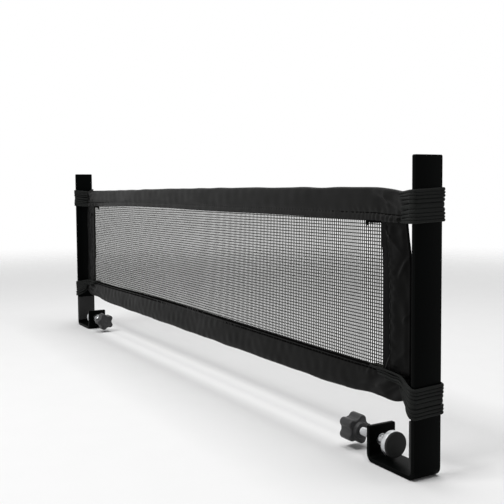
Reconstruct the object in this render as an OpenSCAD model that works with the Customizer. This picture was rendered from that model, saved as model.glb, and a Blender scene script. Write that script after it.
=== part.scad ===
// Table tennis net with two clamp posts.
// Origin: on the table top, under the middle of the net. +X runs along the net, +Z is up.
// The near post stands at +X and the far post, its mirror image, at -X.

/* [Table] */
// Width of the table that the net spans
table_w = 690; // [560:5:840]
// Thickness of the table edge that the clamps hold at rest
apron_t = 25; // [20:1:28]

/* [Posts] */
// Width of the steel strip
post_w = 23; // [18:1:27]
// Thickness of the steel strip
post_t = 3; // [2.5:0.5:4]
// Height of the posts above the table top
post_h = 169; // [155:1:205]
// Inside radius of the strip's bends
bend_r = 3; // [2.5:0.5:4]
// Radius of the corners at the strip's two ends
corner_r = 1.2; // [0.5:0.1:3]

/* [Hook under the table] */
// Depth of the hook's inside below the table top
hook_depth = 38; // [36:1:48]
// Clear width of the hook, from the liner to the inner leg
hook_w = 40; // [38:1:50]
// Height of the inner leg above the hook's inside
inner_leg_h = 22; // [20:1:28]
// Height of the screw's axis above the hook's inside
screw_rise = 11; // [10.5:0.5:13]
// Thickness of the rubber liner on the outer jaw
liner_t = 2.5; // [2:0.5:4]
// Height of the rubber liner
liner_h = 32; // [24:1:34]

/* [Clamp screw] */
// Diameter of the screw
screw_d = 6; // [5:1:8]
// Size of the hexagons of the nut and the screw head, across their flats
hex_af = 10; // [9:1:13]
// Height of the weld nut
nut_h = 5; // [4:0.5:6.5]
// Diameter of the nut's pilot
pilot_d = 8.4; // [8:0.1:9.6]
// Height of the screw head
head_h = 4; // [3:0.5:5]
// Diameter of the pressure pad
pad_d = 18; // [14:1:20]
// Thickness of the pad's steel disc
pad_t = 4; // [3.5:0.5:5]
// Thickness of the pad's rubber face
pad_face_t = 2; // [1.5:0.5:3]
// Diameter of the spigot that turns in the pad
spigot_d = 4.4; // [3.8:0.1:4.8]
// Thickness of the retaining ring on the spigot
ring_t = 0.7; // [0.5:0.1:1]
// Diameter of the retaining ring
ring_d = 7.6; // [7:0.1:9]
// Travel of the pad towards the table edge
close_travel = 13; // [8:1:14]

/* [Knob] */
// Diameter over the knob's lobes
knob_d = 22; // [20:1:26]
// Length of the knob's lobed body
knob_l = 13; // [11:1:16]
// Number of lobes
knob_lobes = 5; // [4:1:7]
// Radius of each lobe
lobe_r = 3.4; // [3:0.1:4]
// Diameter of the knob's collar
collar_d = 12; // [11:1:14]
// Length of the knob's collar
collar_l = 3; // [2:0.5:5]
// Diameter of the cap at the knob's back
cap_d = 14; // [13:0.5:15]
// Thickness of the cap
cap_t = 1.5; // [1:0.5:2]

/* [Net] */
// Height of the net above the table top
net_h = 149; // [135:1:155]
// Distance from the post's inner face to the end of the net
net_gap = 13.5; // [10:0.5:18]
// Height of the top binding
top_tape_h = 24; // [23:1:30]
// Height of the bottom binding
bottom_tape_h = 23.6; // [22:0.1:28]
// Width of the side bindings
side_tape_w = 28; // [22:1:34]
// Thickness of the bindings at their sewn edge
tape_t = 2.2; // [1.8:0.1:2.6]
// Radius of the fold that holds the cord
fold_r = 2.2; // [2:0.1:2.6]
// Thickness of the net's mesh
mesh_t = 0.6; // [0.4:0.1:0.8]
// Depth of the mesh inside the bindings
mesh_tuck = 8; // [5:1:9]
// Number of gaps along the net
mesh_cols = 26; // [12:1:30]
// Number of gaps up the net
mesh_rows = 5; // [3:1:8]
// Width of the mesh's strands
strand_w = 1.2; // [0.8:0.1:2]

/* [Elastic cord] */
// Diameter of the cord
cord_d = 1.6; // [1.2:0.1:1.6]
// Distance from turn to turn on the posts
cord_pitch = 2.4; // [2.4:0.1:2.6]
// Turns at the top of each post
top_turns = 9; // [5:1:9]
// Turns at the foot of each post
bottom_turns = 8; // [4:2:8]
// Height of the lowest turn of the lower winding
foot_turn_z = 3.4; // [3:0.1:4]

/* [Hidden] */
$fn = 64;

// Clearances
run_gap = 0.06;    // radial gap of a shaft that turns in a hole
seat_gap = 0.1;    // gap of a piece that drops into its seat
laid_gap = 0.15;   // gap between the cord and what it is wound on
cut = 0.5;         // how far a cutting solid runs past the face that it cuts

// Places along X at the near post
edge_x = table_w / 2;                      // the table's edge, and the liner's face
post_in = edge_x + liner_t;                // inner face of the post
post_out = post_in + post_t;               // outer face of the post
leg_out = edge_x - hook_w;                 // face of the inner leg towards the table edge
leg_in = leg_out - post_t;                 // back of the inner leg
pad_x = edge_x - apron_t;                  // front of the pad's rubber face
disc_x = pad_x - pad_face_t;               // front of the pad's disc
disc_back = disc_x - pad_t;
nut_back = leg_in - nut_h;
knob_clear = 1;                            // gap between knob and nut with the pad fully forward
collar_x = nut_back - close_travel - knob_clear;
body_x = collar_x - collar_l;              // front of the knob's lobed body
knob_back = body_x - knob_l;
head_x = knob_back + cap_t + seat_gap + head_h;   // front of the screw head
net_end = post_in - net_gap;               // end of the bindings

// Heights
hook_in = -hook_depth;
hook_out = hook_in - post_t;
leg_top = hook_in + inner_leg_h;
screw_z = hook_in + screw_rise;
liner_top = -2;                            // top of the liner, just under the table top
top_edge = net_h - top_tape_h;             // sewn edge of the top binding
fold_cut = 0.3;                            // how far the lower fold is flattened on the table
top_core_z = net_h - fold_r;
bottom_core_z = fold_r - fold_cut;
side_gap = 0.4;                            // gap between a side binding and the two long ones

// Pad and spigot
ring_room = 0.35;                          // gap in front of and behind the ring in the disc
bore_d = spigot_d + 2 * run_gap;
counter_d = ring_d + 1.4;                  // counterbore of the disc, round the ring
counter_x = disc_x - ring_t - 2 * ring_room;
ring_back = counter_x + ring_room;
groove_d = spigot_d - 0.8;
spigot_end = disc_x - seat_gap;

// Hex and pilot fits
hex_r = hex_af / 2 / cos(30);
pilot_l = post_t - 0.5;                    // the pilot stops short of the leg's far face

// The cord's route
turn_r = cord_d / 2 + laid_gap;            // centreline's distance from a face that it lies on
turn_climb = cord_pitch / 2;               // climb of the cord across the post's outer face
nose_x = net_end - 7;                      // centre of the loops' bends in the top binding
nose_h = fold_r + turn_r;                  // half the loops' width there
bundle_x = net_end - 5;                    // centre of the bends in the bottom binding
bundle_in = tape_t / 2 + turn_r + 0.6;    // half width of the inner loops of the bundle
bundle_step = cord_pitch;                  // from the inner to the outer loops, and level to level
bundle_top = bottom_tape_h - 3.2;            // height of the bundle's top level
top_turn_z = net_h - fold_r + 0.2;         // height of the top winding's first turn, at the back
ring_sides = 6;
lead_end_x = bundle_x - 29;                // where the lower winding's lead meets the sewn edge

// Slots that the loops pass through
top_slot_x0 = nose_x - nose_h - cord_d / 2 - laid_gap;
top_slot_x1 = nose_x - nose_h / 4;
top_slot_z1 = top_turn_z - cord_pitch + cord_d / 2 + laid_gap;
top_slot_z0 = top_turn_z - cord_pitch * (top_turns - 1) - cord_d / 2 - laid_gap;
bundle_levels = bottom_turns / 2;
low_slot_x0 = bundle_x - bundle_in - bundle_step - cord_d / 2 - laid_gap;
low_slot_x1 = bundle_x - bundle_in / 4;
low_slot_z0 = bundle_top - bundle_step * (bundle_levels - 1) - cord_d / 2 - laid_gap;

// ---- Helpers ----

function unit(v) = v / norm(v);
function flatten(lists) = [for (l = lists) each l];
function mix(a, b, t) = a + (b - a) * t;

// A plan outline in X and Z, given a thickness along Y.
module along_y(thickness) {
    rotate([90, 0, 0]) linear_extrude(thickness, center = true) children();
}

// A section in Y and Z, given a length along X from x0 to x1.
module along_x(x0, x1) {
    translate([x0, 0, 0]) rotate([90, 0, 90]) linear_extrude(x1 - x0) children();
}

// A round bar on the clamp screw's axis, from x0 to x1.
module screw_bar(d, x0, x1) {
    translate([x0, 0, screw_z]) rotate([0, 90, 0]) cylinder(d = d, h = x1 - x0);
}

// A hexagonal bar on the clamp screw's axis, from x0 to x1, with a gap on every flat.
module screw_hex(gap, x0, x1) {
    translate([x0, 0, screw_z]) rotate([0, 90, 0])
        cylinder(r = hex_r + gap / cos(30), h = x1 - x0, $fn = 6);
}

// A tube of the cord's diameter along a list of points, closed at both ends.
function ring_frame(points, i) =
    let (
        last = len(points) - 1,
        before = points[max(i - 1, 0)],
        after = points[min(i + 1, last)],
        t = unit(after - before),
        side = unit(cross(t, [0, 0, 1]))
    ) [side, cross(side, t)];

module cord_tube(points, sides) {
    n = len(points);
    rings = [for (i = [0:n - 1], k = [0:sides - 1])
        let (f = ring_frame(points, i), a = 360 * k / sides)
        points[i] + cord_d / 2 * (cos(a) * f[0] + sin(a) * f[1])];
    walls = [for (i = [0:n - 2], k = [0:sides - 1], half = [0, 1])
        let (k1 = (k + 1) % sides, a = i * sides, b = a + sides)
        half == 0 ? [a + k, a + k1, b + k1] : [a + k, b + k1, b + k]];
    first = [for (k = [1:sides - 2]) [0, k + 1, k]];
    end = (n - 1) * sides;
    last = [for (k = [1:sides - 2]) [end, end + k, end + k + 1]];
    polyhedron(rings, concat(walls, first, last));
}

// ---- Sheet-metal posts ----

// The strip's section in X and Z, below its straight part: two bends, a floor and the inner leg.
module hook_outline() {
    outer_r = bend_r + post_t;
    difference() {
        union() {
            translate([leg_in, hook_out]) square([post_out - leg_in, outer_r]);
            translate([leg_in, hook_out]) square([post_t, leg_top - hook_out]);
        }
        translate([leg_out + bend_r, hook_in]) square([post_in - leg_out - 2 * bend_r, outer_r]);
        for (bend = [[leg_out + bend_r, -1], [post_in - bend_r, 1]]) {
            difference() {
                translate([bend[0] + (bend[1] > 0 ? 0 : -outer_r), hook_out]) square(outer_r);
                translate([bend[0], hook_in + bend_r]) circle(outer_r);
            }
            intersection() {
                translate([bend[0] + (bend[1] > 0 ? 0 : -bend_r), hook_in]) square([bend_r, outer_r]);
                translate([bend[0], hook_in + bend_r]) circle(bend_r);
            }
        }
    }
}

// One end of the strip, seen along X, with its two corners rounded.
module strip_end(length) {
    difference() {
        translate([-post_w / 2, 0]) square([post_w, length]);
        for (side = [-1, 1]) {
            difference() {
                translate([side * (post_w / 2 - corner_r / 2) - corner_r / 2, length - corner_r])
                    square(corner_r);
                translate([side * (post_w / 2 - corner_r), length - corner_r]) circle(corner_r);
            }
        }
    }
}

module post() {
    straight_z = hook_in + bend_r;
    leg_start = leg_top - 2 * corner_r;
    color("#17191b") difference() {
        union() {
            translate([0, 0, straight_z]) along_x(post_in, post_out) strip_end(post_h - straight_z);
            intersection() {
                along_y(post_w) hook_outline();
                union() {
                    translate([leg_in - cut, -post_w / 2 - cut, hook_out - cut])
                        cube([post_out - leg_in + 2 * cut, post_w + 2 * cut, leg_start - hook_out + cut]);
                    translate([0, 0, hook_out]) along_x(leg_in - cut, leg_out + cut)
                        strip_end(leg_top - hook_out);
                }
            }
        }
        screw_bar(pilot_d + 2 * seat_gap, leg_in - cut, leg_out + cut);
    }
}

module jaw_liner() {
    color("#202020") translate([edge_x, -post_w / 2 + 0.5, liner_top - liner_h])
        cube([liner_t, post_w - 1, liner_h]);
}

// ---- Clamp screw, pad and knob ----

module clamp_nut() {
    color("#b8bab8") difference() {
        union() {
            screw_hex(0, nut_back, leg_in);
            screw_bar(pilot_d, leg_in, leg_in + pilot_l);
        }
        screw_bar(screw_d + 2 * run_gap, nut_back - cut, leg_out + cut);
    }
}

module clamp_screw() {
    color("#c2c4c2") difference() {
        union() {
            screw_hex(0, head_x - head_h, head_x);
            screw_bar(screw_d, head_x - 1, disc_back - seat_gap);
            screw_bar(spigot_d, disc_back - 1, spigot_end);
        }
        difference() {
            screw_bar(spigot_d + 1, ring_back, ring_back + ring_t);
            screw_bar(groove_d, ring_back - cut, ring_back + ring_t + cut);
        }
    }
}

module pad_ring() {
    side_play = 0.04;
    color("#9a9c9a") difference() {
        screw_bar(ring_d, ring_back + side_play, ring_back + ring_t - side_play);
        screw_bar(groove_d + 2 * side_play, ring_back - cut, ring_back + ring_t + cut);
    }
}

module pad_disc() {
    color("#b8bab8") difference() {
        screw_bar(pad_d, disc_back, disc_x);
        screw_bar(bore_d, disc_back - cut, disc_x + cut);
        screw_bar(counter_d, counter_x, disc_x + cut);
    }
}

module pad_face() {
    color("#202020") screw_bar(pad_d, disc_x, pad_x);
}

module knob() {
    lobe_at = knob_d / 2 - lobe_r;
    color("#1b1c1d") difference() {
        union() {
            translate([knob_back, 0, screw_z]) rotate([0, 90, 0]) linear_extrude(knob_l) union() {
                circle(d = cap_d + 2.4);
                for (i = [0:knob_lobes - 1]) {
                    rotate(i * 360 / knob_lobes) translate([lobe_at, 0]) circle(lobe_r);
                }
            }
            screw_bar(collar_d, body_x, collar_x);
        }
        screw_bar(screw_d, head_x - cut, collar_x + cut);
        screw_hex(0, knob_back + cap_t, head_x);
        screw_bar(cap_d + 2 * seat_gap, knob_back - cut, knob_back + cap_t);
    }
}

module knob_cap() {
    color("#141516") screw_bar(cap_d, knob_back, knob_back + cap_t);
}

// ---- Net and bindings ----

module net_mesh() {
    window_x = net_end - side_tape_w;
    z0 = bottom_tape_h - mesh_tuck;
    z1 = top_edge + mesh_tuck;
    cell_x = 2 * window_x / mesh_cols;
    cell_z = (top_edge - bottom_tape_h) / mesh_rows;
    color("#2c2e2c") along_y(mesh_t) difference() {
        translate([-window_x - mesh_tuck, z0]) square([2 * (window_x + mesh_tuck), z1 - z0]);
        for (i = [0:mesh_cols - 1], j = [0:mesh_rows - 1]) {
            translate([-window_x + i * cell_x + strand_w / 2, bottom_tape_h + j * cell_z + strand_w / 2])
                square([cell_x - strand_w, cell_z - strand_w]);
        }
    }
}

// Section of a binding, folded over its cord: the sewn edge lies at 0 and the fold ends at h.
module fold_section(h) {
    slot_w = mesh_t + 2 * laid_gap;
    difference() {
        union() {
            polygon([
                [-tape_t / 2, 0], [tape_t / 2, 0],
                [fold_r, h - fold_r], [-fold_r, h - fold_r]
            ]);
            translate([0, h - fold_r]) circle(fold_r);
        }
        translate([0, h - fold_r]) circle(cord_d / 2 + laid_gap);
        translate([-slot_w / 2, -cut]) square([slot_w, mesh_tuck + laid_gap + cut]);
    }
}

module top_binding() {
    color("#1d1d1f") difference() {
        translate([0, 0, top_edge]) along_x(-net_end, net_end) fold_section(top_tape_h);
        for (side = [-1, 1]) {
            slot_x = side > 0 ? top_slot_x0 : -top_slot_x1;
            translate([slot_x, -fold_r - cut, top_slot_z0])
                cube([top_slot_x1 - top_slot_x0, 2 * (fold_r + cut), top_slot_z1 - top_slot_z0]);
        }
    }
}

module bottom_binding() {
    color("#1d1d1f") difference() {
        translate([0, 0, bottom_tape_h]) mirror([0, 0, 1]) along_x(-net_end, net_end)
            fold_section(bottom_tape_h + fold_cut);
        translate([-net_end - cut, -fold_r - cut, -2 * cut])
            cube([2 * (net_end + cut), 2 * (fold_r + cut), 2 * cut]);
        for (side = [-1, 1]) {
            slot_x = side > 0 ? low_slot_x0 : -low_slot_x1;
            translate([slot_x, -fold_r - cut, low_slot_z0])
                cube([low_slot_x1 - low_slot_x0, 2 * (fold_r + cut), bottom_tape_h]);
        }
    }
}

module side_binding() {
    slot_w = mesh_t + 2 * laid_gap;
    z0 = bottom_tape_h + side_gap;
    z1 = top_edge - side_gap;
    inner = net_end - side_tape_w;
    color("#1d1d1f") translate([0, 0, z0]) linear_extrude(z1 - z0) difference() {
        union() {
            translate([inner, -tape_t / 2]) square([side_tape_w - tape_t / 2, tape_t]);
            translate([net_end - tape_t / 2, 0]) circle(d = tape_t);
        }
        translate([inner - cut, -slot_w / 2]) square([mesh_tuck + laid_gap + cut, slot_w]);
    }
}

module core_cord(z) {
    color("#101112") along_x(-net_end, net_end) translate([0, z]) circle(d = cord_d);
}

// ---- Elastic cord wound round a post and through the binding ----

// Half of a turn from the binding (s = 0) to the middle of the post's outer face, on the side
// given by sign. Plan points come from the half width h at the bend and the bend's centre x.
function lead_dir(x, h) = unit([post_in - x, post_w / 2 + turn_r - h]);
function corner_at(x, h) = let (d = lead_dir(x, h)) [
    post_in - d[1] * turn_r,
    post_w / 2 + d[0] * turn_r
];
corner_angles = [22.5, 67.5];
function outer_corner(sign) = [for (a = corner_angles)
    [post_out + sin(a) * turn_r, sign * (post_w / 2 + cos(a) * turn_r)]];

// The free stretch: pairs of strands share a level at the bend and lie one above the other at
// the post. pair is 1 for the outer and upper strand, -1 for the inner and lower one, 0 for none.
function strand(x, h_mid, z_bend, z_post, pair, sign, steps) =
    let (corner = corner_at(x, h_mid), half = bundle_step / 2)
    [for (i = [0:steps])
        let (
            s = i / steps,
            lift = (s + sin(90 * s)) / 2,
            y = mix(h_mid, corner[1], s) + pair * half * cos(90 * s),
            z = mix(z_bend, z_post - pair * half, s) + pair * half * lift
        ) [mix(x, corner[0], s), sign * y, z]];

function reversed(l) = [for (i = [len(l) - 1:-1:0]) l[i]];

// Round the post, from the side where the strand arrived to the other side.
function round_post(sign, z_in, z_out) =
    let (first = outer_corner(sign), second = reversed(outer_corner(-sign)))
    [
        for (i = [0:1]) [first[i][0], first[i][1], mix(z_in, z_out, 0.1 * (i + 1))],
        for (i = [0:1]) [second[i][0], second[i][1], mix(z_in, z_out, 0.8 + 0.1 * i)]
    ];

// The bend through the binding, from one side of it to the other.
function bend(x, h, z, sign) = [for (a = [30, 90, 150])
    [x - h * sin(a), sign * h * cos(a), z]];

// Upper winding: starts at the core cord's end and winds down.
function top_route() =
    let (
        back = [for (j = [0:top_turns - 1]) top_turn_z - cord_pitch * j],
        start = [[net_end, 0, top_core_z], [net_end + cord_d, 0, top_core_z], [net_end + 6.5, 3.6, back[0]]],
        first_corner = corner_at(nose_x, nose_h)
    )
    concat(
        start,
        [[first_corner[0], first_corner[1], back[0]]],
        flatten([for (j = [0:top_turns - 1]) concat(
            j == 0 ? [] : strand(nose_x, nose_h, back[j], back[j], 0, 1, 1),
            round_post(1, back[j], back[j] - turn_climb),
            reversed(strand(nose_x, nose_h, back[j] - cord_pitch, back[j] - turn_climb, 0, -1, 1)),
            j == top_turns - 1 ? [] : bend(nose_x, nose_h, back[j] - cord_pitch, -1)
        )])
    );

// Lower winding: starts at the core cord's end, winds up, and ends in a lead along the binding.
function bend_level(n) = bundle_top - bundle_step * (bundle_levels - 1 - floor((n - 1) / 2));
function bend_pair(n) = n % 2 == 0 ? 1 : -1;
bundle_mid = bundle_in + bundle_step / 2;
function bottom_route() =
    let (
        front = [for (j = [0:bottom_turns - 1]) foot_turn_z + cord_pitch * j],
        first_corner = corner_at(bundle_x, bundle_mid),
        start = [
            [net_end, 0, bottom_core_z], [net_end + cord_d, 0, bottom_core_z],
            [net_end + 6.5, -4.2, front[0]], [first_corner[0], -first_corner[1], front[0]]
        ],
        out_h = bundle_mid + bundle_step / 2,
        lead_y = -(tape_t / 2 + turn_r + 0.5)
    )
    concat(
        start,
        flatten([for (j = [0:bottom_turns - 1])
            let (n = j + 1, level = bend_level(n), pair = bend_pair(n)) concat(
                j == 0 ? [] : strand(bundle_x, bundle_mid, bend_level(j), front[j], bend_pair(j), -1, 3),
                round_post(-1, front[j], front[j] + turn_climb),
                reversed(strand(bundle_x, bundle_mid, level, front[j] + turn_climb, pair, 1, 3)),
                j == bottom_turns - 1 ? [] : bend(bundle_x, bundle_mid + pair * bundle_step / 2, level, 1)
            )]),
        [
            [bundle_x - out_h * sin(30), out_h * cos(30), bundle_top],
            [bundle_x - out_h * sin(75), out_h * cos(75), bundle_top],
            [bundle_x - out_h, -tape_t / 2, bundle_top],
            [bundle_x - out_h - 1, lead_y, bundle_top + 0.5],
            [bundle_x - out_h - 8, lead_y, bottom_tape_h + 0.2],
            [lead_end_x + 2 * cord_d, lead_y, bottom_tape_h + cord_d / 2],
            [lead_end_x, lead_y, bottom_tape_h + cord_d / 2]
        ]
    );

// Least gap of a wound tube to itself, measured from its points to its other stretches.
function to_stretch(p, a, b) =
    let (t = max(0, min(1, (p - a) * (b - a) / ((b - a) * (b - a))))) norm(p - a - t * (b - a));
function least_gap(points, skip) = min([for (i = [0:len(points) - 1], k = [0:len(points) - 2])
    if (abs(k - i) > skip && abs(k + 1 - i) > skip) to_stretch(points[i], points[k], points[k + 1])]) - cord_d;
turn_skip = 5;      // points along the cord that count as the same stretch

module top_winding() {
    route = top_route();
    echo(top_winding_gap = least_gap(route, turn_skip));
    color("#151616") cord_tube(route, ring_sides);
}

module bottom_winding() {
    route = bottom_route();
    echo(bottom_winding_gap = least_gap(route, turn_skip));
    color("#151616") cord_tube(route, ring_sides);
}

// ---- Assembly ----

module far_side() {
    mirror([1, 0, 0]) children();
}

post();  // near_post
jaw_liner();  // near_jaw_liner
clamp_nut();  // near_clamp_nut
clamp_screw();  // near_clamp_screw
pad_ring();  // near_pad_ring
pad_disc();  // near_pad_disc
pad_face();  // near_pad_face
knob();  // near_knob
knob_cap();  // near_knob_cap
top_winding();  // near_top_winding
bottom_winding();  // near_bottom_winding
side_binding();  // near_side_binding
far_side() post();  // far_post
far_side() jaw_liner();  // far_jaw_liner
far_side() clamp_nut();  // far_clamp_nut
far_side() clamp_screw();  // far_clamp_screw
far_side() pad_ring();  // far_pad_ring
far_side() pad_disc();  // far_pad_disc
far_side() pad_face();  // far_pad_face
far_side() knob();  // far_knob
far_side() knob_cap();  // far_knob_cap
far_side() top_winding();  // far_top_winding
far_side() bottom_winding();  // far_bottom_winding
far_side() side_binding();  // far_side_binding
net_mesh();
top_binding();
bottom_binding();
core_cord(top_core_z);  // top_cord
core_cord(bottom_core_z);  // bottom_cord
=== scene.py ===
"""Table tennis net set: the looks of its posts, clamps, net, bindings and elastic cords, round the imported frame."""

import math
from functools import partial

import bmesh
import bpy
import numpy as np
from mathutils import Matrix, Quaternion, Vector


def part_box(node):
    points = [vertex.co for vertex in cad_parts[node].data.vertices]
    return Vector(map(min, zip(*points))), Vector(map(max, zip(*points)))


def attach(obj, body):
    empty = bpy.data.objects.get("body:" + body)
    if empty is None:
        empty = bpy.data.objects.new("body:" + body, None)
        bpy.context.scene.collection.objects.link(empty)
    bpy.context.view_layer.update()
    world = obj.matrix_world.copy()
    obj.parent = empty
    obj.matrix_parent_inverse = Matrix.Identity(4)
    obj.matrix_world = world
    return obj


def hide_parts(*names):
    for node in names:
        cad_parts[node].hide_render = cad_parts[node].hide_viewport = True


bl_info = {
    "name": "Table tennis net set",
    "version": (1, 0, 0),
    "blender": (4, 5, 0),
    "location": "3D View > Sidebar > Net Set",
    "description": "Builds a small table tennis net with its posts, clamps, bindings and wound cords",
    "category": "Add Mesh",
}

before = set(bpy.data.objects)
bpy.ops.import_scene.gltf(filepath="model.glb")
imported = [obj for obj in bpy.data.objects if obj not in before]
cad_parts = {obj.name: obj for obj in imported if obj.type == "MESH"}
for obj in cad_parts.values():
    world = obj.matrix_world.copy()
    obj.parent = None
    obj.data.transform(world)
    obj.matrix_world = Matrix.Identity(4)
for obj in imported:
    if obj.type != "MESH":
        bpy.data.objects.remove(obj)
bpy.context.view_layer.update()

MM = 0.001
ENDS = (("near", 1), ("far", -1))


def box_mm(name):
    """The lowest and highest corners of a CAD node, in millimetres."""
    return [[value / MM for value in corner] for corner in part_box(name)]


# The frame's own sizes, in millimetres, that the soft pieces have to meet.
POST_THICK = 3
POST_LOW, POST_HIGH = box_mm("near_post")
POST_OUT, POST_HALF = POST_HIGH[:2]
POST_IN = POST_OUT - POST_THICK
TOP_LOW, TOP_HIGH = box_mm("top_binding")
NET_END, FOLD_R = TOP_HIGH[:2]
FOOT_HIGH = box_mm("bottom_binding")[1]
SIDE_LOW, SIDE_HIGH = box_mm("near_side_binding")
AXLE_Z = sum(corner.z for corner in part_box("near_pad_disc")) / 2 / MM

# The stage: the camera, each lamp as (name, place, size, watts), and the share of the white room that lights the net.
LENS, SENSOR, SHIFT_UP = 56.836, 36.0, -0.02857
EYE, AIM, ROLL = (0.73368, -0.34814, 0.14887), (-0.86680, 0.49469, -0.06282), -0.0074
LAMPS = (("front_softbox", (0.1, -0.95, 1.45), (0.55, 0.4), 11.3), ("top_softbox", (0.1, 0.2, 1.7), (1.5, 1.2), 21.8))
LAMPS_AIM = (0.1, 0, 0.08)
ROOM_LIGHT = 0.22
FLOOR_RINGS, FLOOR_SIDES = (0.3, 0.6, 1.0, 1.6, 2.4, 3.5), 64


# ---- Sizes and colours that a user would change ----


def length(name, words, value, low, high):
    """A length property, whose default and limits are given in millimetres."""
    return bpy.props.FloatProperty(
        name=name, description=words, default=value * MM, min=low * MM, max=high * MM, unit="LENGTH", precision=5)


def colour(name, words, value):
    """A linear colour property."""
    return bpy.props.FloatVectorProperty(
        name=name, description=words, subtype="COLOR", size=3, default=value, min=0, max=1)


class NetSetSizes(bpy.types.PropertyGroup):
    """Sizes of the soft pieces and of the small details."""

    cord_diameter: length("Cord diameter", "Thickness of the braided elastic cord", 2.25, 1.6, 2.4)
    upper_turns: bpy.props.IntProperty(
        name="Upper turns", description="Turns of cord round each post at the top binding", default=9, min=4, max=9)
    cord_pitch: length("Turn spacing", "From one turn of cord to the next", 2.4, 2.3, 2.6)
    wall: length("Leatherette thickness", "Thickness of the folded leatherette", 0.7, 0.4, 0.8)
    top_seam: length("Top seam inset", "From the sewn edge of the top binding to its line of stitches", 5.3, 3, 12)
    foot_seam: length(
        "Bottom seam inset", "From the sewn edge of the bottom binding to its line of stitches", 3.6, 3, 12)
    side_seam: length("Side seam inset", "From the sewn edge of a side binding to its line of stitches", 7, 3, 12)
    stitch_pitch: length("Stitch spacing", "From one stitch to the next in the long bindings", 4.2, 2.5, 8)
    side_stitch_pitch: length("Side stitch spacing", "From one stitch to the next in the side bindings", 6.6, 3, 9)
    thread: length("Thread thickness", "Thickness of the sewing thread", 0.55, 0.3, 0.9)
    pucker: length("Pucker depth", "How far the leatherette gathers along its seams", 0.7, 0, 1)
    mesh_across: length("Mesh spacing along the net", "From one upright strand of the mesh to the next", 2.39, 2.3, 6)
    mesh_up: length("Mesh spacing upward", "From one level strand of the mesh to the next", 2.41, 2.35, 6)
    upright_width: length("Upright width", "Width of the mesh's upright strands, seen square to the net", 1.1, 0.3, 1.4)
    level_width: length("Level width", "Width of the mesh's level strands, seen square to the net", 0.74, 0.3, 1.4)
    knot: length("Knot width", "Width of the knot where two strands of the mesh cross", 2.2, 0.6, 2.3)
    strand_depth: length("Strand depth", "Thickness of the mesh", 0.16, 0.1, 0.6)
    strand_drift: length("Strand drift", "How far the mesh strands wander from straight lines", 0.05, 0, 0.6)
    edge_round: length("Edge rounding", "Rounding of the edges of the hard pieces", 0.35, 0.05, 0.6)
    thread_pitch: length("Screw thread pitch", "Travel of the clamp screw in one turn", 1, 0.8, 1.5)


class NetSetColours(bpy.types.PropertyGroup):
    """Colours of the finishes, as linear values."""

    powder_coat: colour("Powder coat", "Coat of the steel posts", (0.0011, 0.0014, 0.0013))
    leatherette: colour("Leatherette", "The bindings", (0.0098, 0.0098, 0.0095))
    elastic_cord: colour("Elastic cord", "Braided cover of the cord", (0.0113, 0.012, 0.0114))
    mesh_yarn: colour("Mesh yarn", "Strands of the net", (0.02, 0.021, 0.017))
    sewing_thread: colour("Sewing thread", "Stitches and thread ends", (0.022, 0.022, 0.021))
    rubber: colour("Rubber", "Jaw liners and pad faces", (0.012, 0.012, 0.012))
    zinc_steel: colour("Zinc plate", "Screws, nuts and pressure discs", (0.6, 0.61, 0.62))
    spring_steel: colour("Spring steel", "Retaining rings", (0.36, 0.36, 0.37))
    knob_plastic: colour("Knob plastic", "Moulded knobs", (0.012, 0.012, 0.0128))
    cap_plastic: colour("Cap plastic", "Caps in the knobs", (0.017, 0.017, 0.018))
    floor: colour("Floor", "Plain pale floor", (0.86, 0.86, 0.86))


# ---- Node trees for the finishes ----


def node(tree, kind, inputs=None, **settings):
    """Adds a node. Inputs are given by name or number, as a value or as another node's output."""
    made = tree.nodes.new(kind)
    for name, value in settings.items():
        setattr(made, name, value)
    for name, value in (inputs or {}).items():
        if isinstance(value, bpy.types.NodeSocket):
            tree.links.new(value, made.inputs[name])
        else:
            made.inputs[name].default_value = value
    return made


def wire(tree, kind, inputs=None, **settings):
    """Adds a node and gives its first output."""
    return node(tree, kind, inputs, **settings).outputs[0]


def math_node(tree, operation, *values):
    """One arithmetic step."""
    return wire(tree, "ShaderNodeMath", dict(enumerate(values)), operation=operation)


def new_finish(name, rough, **sockets):
    """A material's tree and main shader, whose plain values are set on the shader's own sockets."""
    material = bpy.data.materials.new(f"{name}_finish")
    material.use_nodes = True
    tree = material.node_tree
    shader = tree.nodes["Principled BSDF"]
    shader.inputs["Roughness"].default_value = rough
    for socket, value in sockets.items():
        shader.inputs[socket.replace("_", " ")].default_value = value
    return tree, shader


def place(tree, scale=(1, 1, 1), turn=(0, 0, 0)):
    """The piece's own place in metres, stretched or turned."""
    spot = node(tree, "ShaderNodeTexCoord").outputs["Object"]
    return wire(tree, "ShaderNodeMapping", {"Vector": spot, "Scale": scale, "Rotation": turn})


def shades(tree, shader, factor, base, dark, light):
    """Colour between a darker and a lighter shade of base, by factor."""
    mix = node(tree, "ShaderNodeMix", data_type="RGBA")
    mix.inputs[6].default_value = [*(c * dark for c in base), 1]
    mix.inputs[7].default_value = [*(min(1, c * light) for c in base), 1]
    tree.links.new(factor, mix.inputs[0])
    tree.links.new(mix.outputs[2], shader.inputs["Base Color"])


def sheen_of(tree, shader, factor, low, high):
    """Roughness between low and high, by factor."""
    spread = wire(tree, "ShaderNodeMapRange", {"Value": factor, "To Min": low, "To Max": high})
    tree.links.new(spread, shader.inputs["Roughness"])


def relief(tree, shader, *layers):
    """Bump from (height, distance in metres, strength) layers, one on the other."""
    under = {}
    for height, distance, strength in layers:
        bump = wire(tree, "ShaderNodeBump", {"Height": height, "Distance": distance, "Strength": strength, **under})
        under = {"Normal": bump}
    tree.links.new(bump, shader.inputs["Normal"])


def noise(tree, vector, scale, detail=2.0, rough=0.5):
    """Cloudy pattern, from 0 to 1."""
    return wire(tree, "ShaderNodeTexNoise", {"Vector": vector, "Scale": scale, "Detail": detail, "Roughness": rough})


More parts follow.
